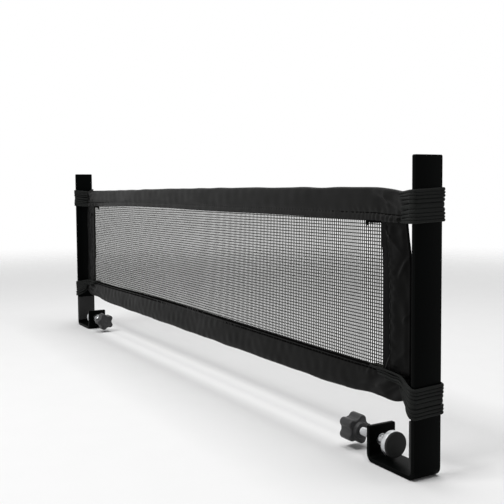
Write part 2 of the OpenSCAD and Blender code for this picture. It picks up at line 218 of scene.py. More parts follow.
def powder_coat_finish(base, edge_highlight=False):
    """Satin coat with fine orange peel and a little dust. The edge coat is smoother, and its colour is painted lighter
    as an edge highlight.
    """
    name = "powder_coat_edge_highlight" if edge_highlight else "powder_coat"
    tree, shader = new_finish(name, 0.4, Specular_IOR_Level=0.04 if edge_highlight else 0.02)
    spot = place(tree)
    clouds, peel = noise(tree, spot, 38, 4), noise(tree, spot, 1500, 2)
    specks = noise(tree, spot, 5200, 1)
    # The edge coat's colour is painted lighter here: a painted highlight along the rounded edges.
    lift = 1.3 if edge_highlight else 1.0
    shades(tree, shader, clouds, base, 0.75 * lift, 1.35 * lift)
    sheen_of(tree, shader, clouds, 0.3 if edge_highlight else 0.36, 0.42 if edge_highlight else 0.5)
    relief(tree, shader, (peel, 0.00005, 0.35), (specks, 0.00002, 0.25))


def leatherette_finish(part, base, shine):
    """Coated cloth: pebbled grain with fine pores, under a satin skin."""
    tree, shader = new_finish(f"{part}_leatherette", 0.44, Specular_IOR_Level=shine)
    spot = place(tree)
    jitter = node(tree, "ShaderNodeTexNoise", {"Vector": spot, "Scale": 900.0}).outputs["Color"]
    drift = wire(tree, "ShaderNodeVectorMath", {0: jitter, "Scale": 0.00045}, operation="SCALE")
    grain_spot = wire(tree, "ShaderNodeVectorMath", {0: spot, 1: drift}, operation="ADD")
    pebbles = wire(tree, "ShaderNodeTexVoronoi", {"Vector": grain_spot, "Scale": 1350.0, "Smoothness": 0.6},
                   feature="SMOOTH_F1")
    clouds, pores = noise(tree, spot, 60, 4), noise(tree, spot, 4200, 2)
    creases = noise(tree, place(tree, (1, 1, 2.2)), 240, 5, 0.62)
    shades(tree, shader, clouds, base, 0.75, 1.4)
    sheen_of(tree, shader, clouds, 0.27, 0.5)
    relief(tree, shader, (creases, 0.0003, 0.16), (pebbles, 0.00006, 0.3), (pores, 0.00002, 0.3))


def cord_finish(base):
    """Braided cover: two sets of yarns crossing along the cord, with a soft fuzz. Its colour is painted darker in the
    hollows between the yarns and lighter on their crests, as shade and highlight.
    """
    yarns = 8
    tree, shader = new_finish("elastic_cord", 0.62, Specular_IOR_Level=0.05)
    along = wire(tree, "ShaderNodeUVMap", uv_map="wrap")
    round_it, down_it = node(tree, "ShaderNodeSeparateXYZ", {0: along}).outputs[:2]
    left, right = (
        math_node(tree, "SINE", math_node(tree, "MULTIPLY", math_node(tree, way, round_it, down_it), math.tau * yarns))
        for way in ("ADD", "SUBTRACT"))
    height = math_node(tree, "MULTIPLY_ADD", math_node(tree, "MAXIMUM", left, right), 0.5, 0.5)
    fuzz = noise(tree, place(tree), 3600, 3)
    mixed = math_node(tree, "MULTIPLY", height, math_node(tree, "MULTIPLY_ADD", fuzz, 0.6, 0.7))
    # Painted shade and highlight: darker where the braid is low, lighter where it is high.
    shades(tree, shader, mixed, base, 0.35, 1.7)
    sheen_of(tree, shader, fuzz, 0.52, 0.72)
    relief(tree, shader, (height, 0.00012, 0.5), (fuzz, 0.00005, 0.3))


def yarn_finish(name, base, sheen):
    """Twisted yarn, for the mesh and the sewing thread."""
    tree, shader = new_finish(name, 0.6, Specular_IOR_Level=0.12, Sheen_Weight=sheen, Sheen_Roughness=0.4)
    spot = place(tree)
    twist = node(tree, "ShaderNodeTexWave", {
        "Vector": place(tree, turn=(0.5, 0.6, 0.4)), "Scale": 900.0, "Distortion": 2.0, "Detail": 2.0}).outputs[1]
    fuzz = noise(tree, spot, 2600, 3)
    shades(tree, shader, fuzz, base, 0.6, 1.5)
    sheen_of(tree, shader, noise(tree, spot, 220, 2), 0.5, 0.72)
    relief(tree, shader, (twist, 0.00004, 0.3), (fuzz, 0.00003, 0.3))


def recess_shade_finish(base):
    """Painted shade for the seams, the sewn edges and the slit under the top binding: dark and without reflection, with
    a woven bump.
    """
    tree, shader = new_finish("painted_recess_shade", 0.95, Specular_IOR_Level=0.0)
    weave = node(tree, "ShaderNodeTexChecker", {
        "Vector": place(tree, turn=(0.3, 0.4, 0.2)), "Scale": 2600.0}).outputs[1]
    fuzz = noise(tree, place(tree), 1500, 3)
    shades(tree, shader, fuzz, base, 0.6, 1.6)
    sheen_of(tree, shader, fuzz, 0.88, 1.0)
    relief(tree, shader, (weave, 0.00003, 0.4))


def rubber_finish(base):
    """Matte rubber with a fine moulded grain and a bloom."""
    tree, shader = new_finish("rubber", 0.75, Specular_IOR_Level=0.3)
    spot = place(tree)
    bloom, grain = noise(tree, spot, 90, 4), noise(tree, spot, 2600, 2)
    shades(tree, shader, bloom, base, 0.8, 1.7)
    sheen_of(tree, shader, bloom, 0.66, 0.85)
    relief(tree, shader, (grain, 0.00006, 0.4))


def steel_finish(name, base, rough, streak):
    """Plated or plain steel: turning marks round the axle, spangle and a little staining."""
    tree, shader = new_finish(name, rough, Metallic=1.0)
    spot = place(tree)
    marks = node(tree, "ShaderNodeTexWave", {
        "Vector": place(tree, (1, 0.02, 0.02)), "Scale": streak, "Distortion": 3.0, "Detail": 3.0,
        "Detail Scale": 2.0}, bands_direction="X").outputs[1]
    stain, spangle = noise(tree, spot, 130, 5, 0.6), noise(tree, spot, 2400, 2)
    shades(tree, shader, stain, base, 0.72, 1.12)
    mixed = math_node(tree, "MULTIPLY_ADD", spangle, 0.5, math_node(tree, "MULTIPLY", stain, 0.5))
    sheen_of(tree, shader, mixed, rough - 0.1, rough + 0.14)
    relief(tree, shader, (marks, 0.00002, 0.25), (spangle, 0.00002, 0.2))


def plastic_finish(name, base, rough, grain_scale):
    """Moulded plastic with a spark-etched grain and handling marks."""
    tree, shader = new_finish(name, rough, Specular_IOR_Level=0.42)
    spot = place(tree)
    marks = noise(tree, place(tree, (1, 3, 1), (0.4, 0.2, 0.7)), 160, 5, 0.6)
    cells = wire(tree, "ShaderNodeTexVoronoi", {"Vector": spot, "Scale": grain_scale}, feature="F1")
    shades(tree, shader, marks, base, 0.8, 1.5)
    sheen_of(tree, shader, marks, rough - 0.08, rough + 0.12)
    relief(tree, shader, (cells, 0.00006, 0.35), (noise(tree, spot, 3000, 2), 0.00002, 0.3))


def finish_called(name):
    """A finish that the first operator made."""
    found = bpy.data.materials.get(f"{name}_finish")
    if found is None:
        raise RuntimeError(f"make the finishes first: there is no {name}")
    return found


# ---- Mesh helpers ----


def add_object(name, mesh, *finishes):
    """Links a mesh to the scene as a piece at the origin."""
    piece = bpy.data.objects.new(name, mesh)
    bpy.context.scene.collection.objects.link(piece)
    for finish in finishes:
        mesh.materials.append(finish_called(finish))
    return piece


def settle_piece(piece, body, slot, *nodes):
    """The piece moves with a body and hides the CAD nodes it stands for. Slot is not used."""
    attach(piece, body)
    if nodes:
        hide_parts(*nodes)


def folded_sheet(piece, node_name):
    """A binding that moves with the net and hides the CAD node it stands for."""
    settle_piece(piece, "net", "leatherette", node_name)


def fix_shape(piece):
    """Turns the evaluated piece into a plain mesh, without its modifiers."""
    bpy.context.view_layer.update()
    evaluated = piece.evaluated_get(bpy.context.evaluated_depsgraph_get())
    mesh = bpy.data.meshes.new_from_object(evaluated)
    piece.modifiers.clear()
    old = piece.data
    piece.data = mesh
    mesh.name = piece.name
    bpy.data.meshes.remove(old)
    return piece


class Shape:
    """Points in millimetres, faces, and each face corner's place on the flat material."""

    def __init__(self):
        self.points, self.faces, self.flat = np.zeros((0, 3)), [], []

    def add(self, points):
        """Adds points and gives the number of the first."""
        first = len(self.points)
        self.points = np.vstack([self.points, np.asarray(points, float).reshape(-1, 3)])
        return first

    def face(self, corners, flat, turned=False):
        """Adds a face, with its corners taken the other way round if it is turned."""
        step = -1 if turned else 1
        self.faces.append([int(c) for c in corners[::step]])
        self.flat.extend(flat[::step])

    def parts(self):
        """Each face with the flat places of its corners."""
        place_at = 0
        for face in self.faces:
            yield face, self.flat[place_at:place_at + len(face)]
            place_at += len(face)

    def join(self, other):
        """Adds the points and faces of another shape."""
        offset = self.add(other.points)
        for face, flat in other.parts():
            self.face([c + offset for c in face], flat)

    def sheet(self, first, rows, columns, along, across, closed=False, turned=False):
        """Quads over rows x columns of points from number first. Along and across are the flat places."""
        spans = columns if closed else columns - 1
        for i in range(rows - 1):
            a, b = first + i * columns, first + (i + 1) * columns
            for k in range(spans):
                m = (k + 1) % columns
                corners = [a + k, a + m, b + m, b + k]
                flat = [(across[k], along[i]), (across[k + 1], along[i]),
                        (across[k + 1], along[i + 1]), (across[k], along[i + 1])]
                self.face(corners, flat, turned)

    def fan(self, centre, ring, turned=False):
        """Closes a ring of point numbers onto one centre point."""
        hub = self.add([centre])
        for a, b in zip(ring, [*ring[1:], ring[0]]):
            self.face([hub, b, a] if turned else [hub, a, b], [(0, 0)] * 3)

    def at_end(self, side, keep_hand=False):
        """The shape at the net's end that side gives: mirrored there, or turned half round so that a thread
        keeps its hand."""
        if side > 0:
            return self
        other = Shape()
        other.points = self.points * (-1, -1 if keep_hand else 1, 1)
        for face, flat in self.parts():
            other.face(face, flat, turned=not keep_hand)
        return other

    def piece(self, name, finish, smooth_angle=None):
        """The finished object, smooth all over or up to an angle in degrees."""
        mesh = bpy.data.meshes.new(name)
        mesh.from_pydata((self.points * MM).tolist(), [], self.faces)
        layer = mesh.uv_layers.new(name="wrap")
        layer.data.foreach_set("uv", np.asarray(self.flat, np.float32).ravel())
        mesh.polygons.foreach_set("use_smooth", [True] * len(mesh.polygons))
        if smooth_angle is not None:
            mesh.set_sharp_from_angle(angle=math.radians(smooth_angle))
        mesh.update()
        return add_object(name, mesh, finish)


def lengths(points):
    """Distance run along a line of points, from its start."""
    return np.concatenate([[0], np.cumsum(np.linalg.norm(np.diff(points[:, :3], axis=0), axis=1))])


def evenly(points, step):
    """The same line with points about step apart."""
    run = lengths(points)
    count = max(2, int(round(run[-1] / step)) + 1)
    goal = np.linspace(0, run[-1], count)
    return np.stack([np.interp(goal, run, points[:, axis]) for axis in range(points.shape[1])], 1)


def smooth_line(knots, step):
    """A smooth line through knots, with points about step apart."""
    knots = np.asarray(knots, float)
    ends = np.vstack([2 * knots[0] - knots[1], knots, 2 * knots[-1] - knots[-2]])
    parts = []
    for i in range(1, len(ends) - 2):
        p0, p1, p2, p3 = ends[i - 1:i + 3]
        gaps = [max(np.linalg.norm(b - a), 1e-6) ** 0.5 for a, b in ((p0, p1), (p1, p2), (p2, p3))]
        m1 = (p2 - p1) + gaps[1] * ((p1 - p0) / gaps[0] - (p2 - p0) / (gaps[0] + gaps[1]))
        m2 = (p2 - p1) + gaps[1] * ((p3 - p2) / gaps[2] - (p3 - p1) / (gaps[1] + gaps[2]))
        t = np.linspace(0, 1, 24, endpoint=False)[:, None]
        parts.append((2 * t**3 - 3 * t**2 + 1) * p1 + (t**3 - 2 * t**2 + t) * m1
                     + (3 * t**2 - 2 * t**3) * p2 + (t**3 - t**2) * m2)
    return evenly(np.vstack([*parts, knots[-1:]]), step)


def eased(value, low, high):
    """0 below low and 1 above high, with a soft rise between them."""
    t = np.clip((np.asarray(value, float) - low) / (high - low), 0, 1)
    return t * t * (3 - 2 * t)


def ruffle(seed, size, u, v=0.0, waves=7):
    """Smooth uneven waves of about that size, roughly from -1 to 1."""
    rng = np.random.RandomState(seed)
    total = 0.0
    for _ in range(waves):
        angle, pace = rng.uniform(0, math.tau), rng.uniform(0.65, 1.6) * math.tau / size
        place_at = math.cos(angle) * np.asarray(u) + math.sin(angle) * np.asarray(v)
        total = total + np.sin(pace * place_at + rng.uniform(0, math.tau))
    return total / math.sqrt(waves)


def waves_along(seed, size, u, waves=6):
    """Uneven waves along one direction only."""
    rng = np.random.RandomState(seed)
    total = 0.0
    for _ in range(waves):
        total = total + np.sin(np.asarray(u) * rng.uniform(0.65, 1.6) * math.tau / size + rng.uniform(0, math.tau))
    return total / math.sqrt(waves)


def crease(u, v, start, end, width):
    """A soft ridge of height 1 along a straight stretch of the flat material."""
    start, along = np.array(start, float), np.array(end, float) - np.array(start, float)
    t = np.clip(((u - start[0]) * along[0] + (v - start[1]) * along[1]) / (along @ along), 0, 1)
    away = np.hypot(u - start[0] - t * along[0], v - start[1] - t * along[1])
    return np.exp(-(away / width) ** 2) * np.sin(np.pi * (0.15 + 0.7 * t))


# How much thinner and taller a fully flattened cord is, and how much thinner and lower a fully pulled one is.
FLAT_THIN, FLAT_TALL = 0.3, 0.65
PULL_THIN, PULL_LOW = 0.28, 0.4
TUBE_CAP = 0.35


def tube(line, radius, sides, squeeze=None):
    """A closed tube along a line of points, whose flat places are in rounds. With squeeze its section is thinner
    sideways. A fourth number at each point flattens it, up to 1, or pulls it thin, down to -1."""
    line = np.asarray(line, float)
    flat = np.clip(line[:, 3], -1, 1) if line.shape[1] > 3 else np.zeros(len(line))
    spread, pull = np.maximum(flat, 0), np.minimum(flat, 0)
    line = line[:, :3]
    count = len(line)
    ahead = np.gradient(line, axis=0)
    ahead /= np.linalg.norm(ahead, axis=1)[:, None]
    if squeeze:
        sides_of = np.cross(ahead, (0, 0, 1))
        sides_of /= np.linalg.norm(sides_of, axis=1)[:, None]
    else:
        side = np.cross(ahead[0], (0, 0, 1) if abs(ahead[0][2]) < 0.9 else (1, 0, 0))
        sides_of = []
        for t in ahead:
            side = side - t * (side @ t)
            side /= np.linalg.norm(side)
            sides_of.append(side)
        sides_of = np.array(sides_of)
    above = np.cross(ahead, sides_of)
    angles = np.arange(sides) * math.tau / sides
    thin = (squeeze or 1) * (1 - FLAT_THIN * spread + PULL_THIN * pull)
    tall = 1 + FLAT_TALL * spread + PULL_LOW * pull
    ring = (thin[:, None, None] * np.cos(angles)[None, :, None] * sides_of[:, None]
            + tall[:, None, None] * np.sin(angles)[None, :, None] * above[:, None])
    shape = Shape()
    first = shape.add(line[:, None] + ring * radius)
    along = lengths(line) / (math.tau * radius)
    shape.sheet(first, count, sides, along, np.arange(sides + 1) / sides, closed=True)
    last = first + (count - 1) * sides
    shape.fan(line[0] - ahead[0] * radius * TUBE_CAP, range(first, first + sides), turned=True)
    shape.fan(line[-1] + ahead[-1] * radius * TUBE_CAP, range(last, last + sides))
    return shape


def folded_strip(outer, wall, along, across):
    """A strip of one thickness from its outer surface, outer[row, column], folded over to both sewn edges."""
    rows, columns = outer.shape[:2]
    down, over = np.gradient(outer, axis=0), np.gradient(outer, axis=1)
    normal = np.cross(over, down)
    normal /= np.linalg.norm(normal, axis=2)[:, :, None]
    middle = outer[:, columns // 2] - (outer[:, 0] + outer[:, -1]) / 2
    if np.sum(normal[:, columns // 2] * middle) < 0:
        normal = -normal
    shape = Shape()
    skin = shape.add(outer)
    lining = shape.add(outer - normal * wall)
    flip = np.sum(np.cross(over, down)[:, columns // 2] * middle) < 0
    shape.sheet(skin, rows, columns, along, across, turned=not flip)
    shape.sheet(lining, rows, columns, along, across, turned=flip)
    rim = [(i, k, i + 1, k, (k == 0) == flip) for k in (0, columns - 1) for i in range(rows - 1)]
    rim += [(i, k, i, k + 1, (i == 0) != flip) for i in (0, rows - 1) for k in range(columns - 1)]
    for i, k, j, m, turned in rim:
        a, b = i * columns + k, j * columns + m
        here, there = (across[k], along[i]), (across[m], along[j])
        shape.face([skin + a, skin + b, lining + b, lining + a], [here, there, there, here], turned)
    return shape


def paint_recess_shade(piece, width, *bands):
    """Paints shade on a folded strip of a width in metres: a dark finish without reflection, in bands of (from, to,
    least distance from the net's middle) in millimetres. The ends of a band are ragged."""
    rag_depth, rag_length = 24, 9
    mesh = piece.data
    mesh.materials.append(finish_called("painted_recess_shade"))
    flat = np.empty(2 * len(mesh.loops), np.float32)
    mesh.uv_layers["wrap"].data.foreach_get("uv", flat)
    corner = np.empty(len(mesh.polygons), np.int32)
    mesh.polygons.foreach_get("loop_start", corner)
    flat = flat.reshape(-1, 2)
    across, along = ((flat[corner] + flat[corner + 2]) / 2 / MM).T
    inset, away = np.minimum(across, width / MM - across), np.abs(along - NET_END)
    shown = np.zeros(len(corner), bool)
    for low, high, reach in bands:
        shown |= (inset > low) & (inset < high) & (away + rag_depth * waves_along(61, rag_length, along) > reach)
    mesh.polygons.foreach_set("material_index", shown.astype(np.int32))


def hard_piece(end, part, name, body, finishes, edge_round):
    """A CAD node's shape with its flat faces joined and its edges rounded. A second finish goes on the edges."""
    merge, flat_angle, edge_angle, smooth_angle = 0.002 * MM, 0.6, 32, 28
    build = bmesh.new()
    build.from_mesh(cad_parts[f"{end}_{part}"].data)
    bmesh.ops.remove_doubles(build, verts=build.verts, dist=merge)
    bmesh.ops.dissolve_limit(build, angle_limit=math.radians(flat_angle), verts=build.verts, edges=build.edges)
    bmesh.ops.recalc_face_normals(build, faces=build.faces)
    mesh = bpy.data.meshes.new(f"{end}_{name}")
    build.to_mesh(mesh)
    build.free()
    piece = add_object(f"{end}_{name}", mesh, *finishes)
    bevel = piece.modifiers.new("rounded edges", "BEVEL")
    bevel.width, bevel.segments = edge_round, 3
    bevel.limit_method, bevel.angle_limit = "ANGLE", math.radians(edge_angle)
    bevel.use_clamp_overlap = True
    if len(finishes) > 1:
        bevel.material = 1
    fix_shape(piece)
    piece.data.polygons.foreach_set("use_smooth", [True] * len(piece.data.polygons))
    piece.data.set_sharp_from_angle(angle=math.radians(smooth_angle))
    settle_piece(piece, body, finishes[0], f"{end}_{part}")


def axle_ring(x, radius, angles):
    """A ring of points round the clamp's axle, in millimetres."""
    return np.stack([np.full(len(angles), float(x)), radius * np.cos(angles), AXLE_Z + radius * np.sin(angles)], 1)


def axle_shape(rings, along, round_it=1.0):
    """A closed shape from rings of points round the clamp's axle, with its flat places along and round it."""
    rings = np.array(rings)
    count, sides = rings.shape[:2]
    shape = Shape()
    first = shape.add(rings)
    last = first + (count - 1) * sides
    shape.sheet(first, count, sides, along, np.arange(sides + 1) / sides * round_it, closed=True, turned=True)
    for ring, start, turned in ((rings[0], first, False), (rings[-1], last, True)):
        shape.fan((ring[0, 0], 0, AXLE_Z), range(start, start + sides), turned)
    return shape


def lathe(profile, sides, swell=None):
    """A shape turned round the clamp's axle. Profile is (x, radius) in millimetres, and swell(angle, radius) may
    change the radius."""
    angles = np.arange(sides) * math.tau / sides
    rings = [axle_ring(x, swell(angles, radius) if swell else np.full(sides, float(radius)), angles)
             for x, radius in profile]
    return axle_shape(rings, lengths(np.array([(x, r, 0) for x, r in profile])) * 0.05)


# ---- Geometry node trees for what repeats ----


def new_tree(name, inputs):
    """A geometry node tree with named inputs. Gives the tree and its input sockets."""
    tree = bpy.data.node_groups.new(name, "GeometryNodeTree")
    geometry = "NodeSocketGeometry"
    for label, kind in (("Geometry", geometry), *inputs):
        tree.interface.new_socket(label, in_out="INPUT", socket_type=kind)
    tree.interface.new_socket("Geometry", in_out="OUTPUT", socket_type=geometry)
    return tree, tree.nodes.new("NodeGroupInput").outputs


def finish_tree(tree, shapes, finish):
    """Ends a tree: the instances are made real and take their finish."""
    real = wire(tree, "GeometryNodeRealizeInstances", {0: shapes})
    painted = wire(tree, "GeometryNodeSetMaterial", {"Geometry": real, "Material": finish})
    tree.links.new(painted, tree.nodes.new("NodeGroupOutput").inputs[0])
    return tree


def run_tree(piece, tree, values):
    """Runs a tree on a piece with its inputs set, and leaves the result as a plain mesh."""
    modifier = piece.modifiers.new(tree.name, "NODES")
    modifier.node_group = tree
    for item in tree.interface.items_tree:
        if item.item_type == "SOCKET" and item.in_out == "INPUT" and item.name in values:
            modifier[item.identifier] = values[item.name]
    fix_shape(piece)
    if not piece.data.polygons:
        raise RuntimeError(f"{piece.name} came out empty")


def strands_tree():
    """Square mesh: upright and level strands of flat section, or the knots where they cross."""
    number, size, paint, choice = "NodeSocketInt", "NodeSocketFloat", "NodeSocketMaterial", "NodeSocketBool"
    tree, value = new_tree("mesh_strands", [
        ("Half length", size), ("Bottom", size), ("Top", size), ("Uprights", number), ("Levels", number),
        ("Upright width", size), ("Level width", size), ("Strand depth", size), ("Knot width", size),
        ("Knots", choice), ("Drift", size), ("Seed", size), ("Finish", paint)])
    waves = ((26.0, 5.0), (210.0, 2.4))
    knot_depth = 2.6

    made, maths = partial(wire, tree), partial(math_node, tree)

    def drift():
        """The wander of any point of the mesh, which depends only on its place."""
        spot = wire(tree, "GeometryNodeInputPosition")
        push = []
        for scale, share in waves:
            clouds = node(tree, "ShaderNodeTexNoise", {
                "Vector": spot, "W": value["Seed"], "Scale": scale, "Detail": 0.0}, noise_dimensions="4D")
            middle = made("ShaderNodeVectorMath", {0: clouds.outputs["Color"], 1: (0.5, 0.5, 0.5)},
                          operation="SUBTRACT")
            reach = maths("MULTIPLY", value["Drift"], share)
            push.append(made("ShaderNodeVectorMath", {0: middle, "Scale": reach}, operation="SCALE"))
        return made("ShaderNodeVectorMath", {0: push[0], 1: push[1]}, operation="ADD")

    def strands(wide, ends, count, counter_ends, counter_count):
        """One set of strands: a line of count points between ends, repeated between the counter ends."""
        line = made("GeometryNodeCurvePrimitiveLine", {"Start": ends[0], "End": ends[1]})
        fine = made("GeometryNodeResampleCurve", {"Curve": line, "Count": count})
        rail = made("GeometryNodeMeshLine", {
            "Count": counter_count, "Start Location": counter_ends[0], "Offset": counter_ends[1]}, mode="END_POINTS")
        many = made("GeometryNodeInstanceOnPoints", {"Points": rail, "Instance": fine})
        real = made("GeometryNodeRealizeInstances", {0: many})
        level = made("GeometryNodeSetCurveNormal", {"Curve": real, "Normal": (0, 1, 0)}, mode="FREE")
        moved = made("GeometryNodeSetPosition", {"Geometry": level, "Offset": drift()})
        section = made("GeometryNodeCurvePrimitiveQuadrilateral", {
            "Width": value["Strand depth"], "Height": value[wide]})
        return made("GeometryNodeCurveToMesh", {"Curve": moved, "Profile Curve": section, "Fill Caps": True})

    def point(x, z, y=0.0):
        return made("ShaderNodeCombineXYZ", {"X": x, "Y": y, "Z": z})

    half, bottom, top = value["Half length"], value["Bottom"], value["Top"]
    up, across = (point(0.0, bottom), point(0.0, top)), (point(maths("MULTIPLY", half, -1.0), 0.0), point(half, 0.0))
    both = node(tree, "GeometryNodeJoinGeometry")
    for source in (strands("Upright width", up, value["Levels"], across, value["Uprights"]),
                   strands("Level width", across, value["Uprights"], up, value["Levels"])):
        tree.links.new(source, both.inputs[0])
    grid = made("GeometryNodeMeshGrid", {
        "Size X": maths("MULTIPLY", half, 2.0), "Size Y": maths("SUBTRACT", top, bottom),
        "Vertices X": value["Uprights"], "Vertices Y": value["Levels"]})
    middle = maths("MULTIPLY", maths("ADD", top, bottom), 0.5)
    upright = made("GeometryNodeTransform", {
        "Geometry": grid, "Translation": point(0.0, middle), "Rotation": (math.pi / 2, 0, 0)})
    crossings = made("GeometryNodeSetPosition", {"Geometry": upright, "Offset": drift()})
    ball = made("GeometryNodeMeshUVSphere", {"Segments": 4, "Rings": 2, "Radius": 0.5})
    wide, deep = value["Knot width"], maths("MULTIPLY", value["Strand depth"], knot_depth)
    knot = made("GeometryNodeTransform", {"Geometry": ball, "Scale": point(wide, wide, deep)})
    knots = made("GeometryNodeInstanceOnPoints", {"Points": crossings, "Instance": knot})
    chosen = made("GeometryNodeSwitch", {
        "Switch": value["Knots"], "False": both.outputs[0], "True": knots}, input_type="GEOMETRY")
    flat = made("GeometryNodeSetShadeSmooth", {0: chosen, "Shade Smooth": False})
    return finish_tree(tree, flat, value["Finish"])


def stitches_tree():
    """Stitches along seam lines: a bead of thread every so far, a little uneven."""
    size = "NodeSocketFloat"
    tree, value = new_tree("seam_stitches", [
        ("Spacing", size), ("Stitch length", size), ("Thread", size), ("Seed", "NodeSocketInt"),
        ("Finish", "NodeSocketMaterial")])
    shortest, longest, most_tilt = 0.82, 1.12, 0.09
    line = wire(tree, "GeometryNodeMeshToCurve", {"Mesh": value["Geometry"]})
    spots = node(tree, "GeometryNodeCurveToPoints", {"Curve": line, "Length": value["Spacing"]}, mode="LENGTH")
    bead = wire(tree, "GeometryNodeMeshUVSphere", {"Segments": 8, "Rings": 6, "Radius": 0.5})
    thickness = wire(tree, "ShaderNodeCombineXYZ", {
        "X": value["Thread"], "Y": value["Thread"], "Z": value["Stitch length"]})
    shaped = wire(tree, "GeometryNodeTransform", {"Geometry": bead, "Scale": thickness})
    uneven, tilt = (
        node(tree, "FunctionNodeRandomValue", {2: low, 3: high, "Seed": value["Seed"]}, data_type="FLOAT").outputs[1]
        for low, high in ((shortest, longest), (-most_tilt, most_tilt)))
    leaning = wire(tree, "FunctionNodeEulerToRotation", {
        0: wire(tree, "ShaderNodeCombineXYZ", {"X": tilt, "Y": tilt})})
    turn = wire(tree, "FunctionNodeRotateRotation", {
        "Rotation": spots.outputs["Rotation"], "Rotate By": leaning}, rotation_space="LOCAL")
    many = wire(tree, "GeometryNodeInstanceOnPoints", {
        "Points": spots.outputs[0], "Instance": shaped, "Rotation": turn, "Scale": uneven})
    smooth = wire(tree, "GeometryNodeSetShadeSmooth", {0: many})
    return finish_tree(tree, smooth, value["Finish"])


# ---- The bindings' surfaces, which the seams and the cords follow ----


def run_of(x, *stations):
    """A soft line through (x, value) stations."""
    xs, values = zip(*stations)
    shifts = (-5, -2.5, 0, 2.5, 5)
    return sum(np.interp(np.asarray(x) + shift, xs, values) for shift in shifts) / len(shifts)


def top_drop(x):
    """How far the top binding's fold is pulled down towards the cord at its ends."""
    return run_of(x, (-334, 3.9), (-327, 3.7), (-320, 3.2), (-311, 2.9), (-220, 2.3), (-139, 1.5), (-69, 0.7),
                  (-8, 0.5), (46, 0.2), (95, 0), (212, 0.2), (275, 0.3), (301, 0.4), (309, 1.1), (315, 1.7),
                  (321, 2.5), (327, 3.6), (334, 3.9))


def top_edge(x):
    """How far the top binding's sewn edge stands above its place at the ends."""
    return run_of(x, (-334, 0), (-305, 0.3), (-237, 1.3), (-135, 2.9), (-49, 2.4), (24, 1.6), (87, 1.3),
                  (141, 1.4), (190, 1.1), (232, 0.7), (270, 0.4), (300, 0.6), (308, 0), (334, 0))


def foot_lift(x):
    """How far the bottom binding's fold is pulled up off the table towards the cord at its ends."""
    return run_of(np.abs(x), (0, 0.3), (230, 0.4), (272, 1.2), (292, 3.6), (306, 3.4), (320, 2.7), (326, 4.6),
                  (334, 8.5))


def foot_edge(x):
    """How far the bottom binding's sewn edge stands above its place."""
    return run_of(x, (-334, 0.4), (-242, 0.8), (-188, 1.5), (-139, 2.2), (-53, 2.7), (21, 2.4), (85, 1.9), (188, 1.3),
                  (270, 0.9), (334, 0.6))


# Creases, each as (height, start, end, width) in millimetres. Start and end are (distance from the net's middle, rise
# from the sewn edge) on the long bindings, and (distance from the sewn edge, height) on the side ones.
TOP_CREASES = (
    (0.9, (300, 21), (323, 13), 2.6), (-0.7, (303, 17), (322, 10), 1.7), (0.5, (309, 22), (312, 11), 1.6),
    (1.0, (313, 1.2), (316, 2.6), 0.9), (0.8, (305, 1.6), (307, 3.4), 0.9), (0.8, (320, 1.4), (322, 3.2), 0.9),
    (0.5, (298, 1.6), (299, 3.4), 0.8))
FOOT_CREASES = (
    (0.9, (303, 15), (326, 4), 1.8), (0.8, (311, 19), (328, 8), 1.4), (-0.7, (296, 10), (320, 6), 2.0),
    (0.6, (282, 18), (306, 13), 1.8), (-0.4, (268, 17), (300, 16), 1.5))
SIDE_CREASES = (
    (0.95, (26.5, 101), (17.5, 89), 1.5), (-0.5, (24.0, 103), (15.0, 92), 1.6), (0.8, (26.5, 64), (21.5, 59), 1.3),
    (0.6, (8.0, 116), (20.0, 106), 1.6), (0.5, (5.0, 120), (9.0, 113), 1.2), (0.5, (26.0, 40), (12.0, 30), 1.8))
# Half the gap between the two sewn edges of a long binding, and the points up its straight part.
EDGE_HALF, RISE_POINTS = 1.1, 29
# How far the hem cord's middle lies above the middle of the fold.
HEM_UP = 0.1


def creased(u, v, creases):
    """All the creases of a binding together."""
    return sum(height * crease(u, v, *places) for height, *places in creases)


def hem_height(top, x):
    """The height of the cord's middle in the hem of the top or bottom binding."""
    return TOP_HIGH[2] - FOLD_R - top_drop(x) + HEM_UP if top else FOLD_R + HEM_UP + foot_lift(x)


def long_section(height):
    """Half widths and heights of a long binding's folded section, from the front sewn edge to the back one."""
    straight = np.linspace(0, 1, RISE_POINTS) ** 0.95
    rise = straight * (height - FOLD_R)
    half = EDGE_HALF + (FOLD_R - EDGE_HALF) * eased(straight, 0.1, 1.0)
    arc = np.linspace(0, math.pi, 15)[1:-1]
    level = np.concatenate([rise, height - FOLD_R + FOLD_R * np.sin(arc), rise[::-1]])
    across = np.concatenate([-half, -FOLD_R * np.cos(arc), half[::-1]])
    return across, level


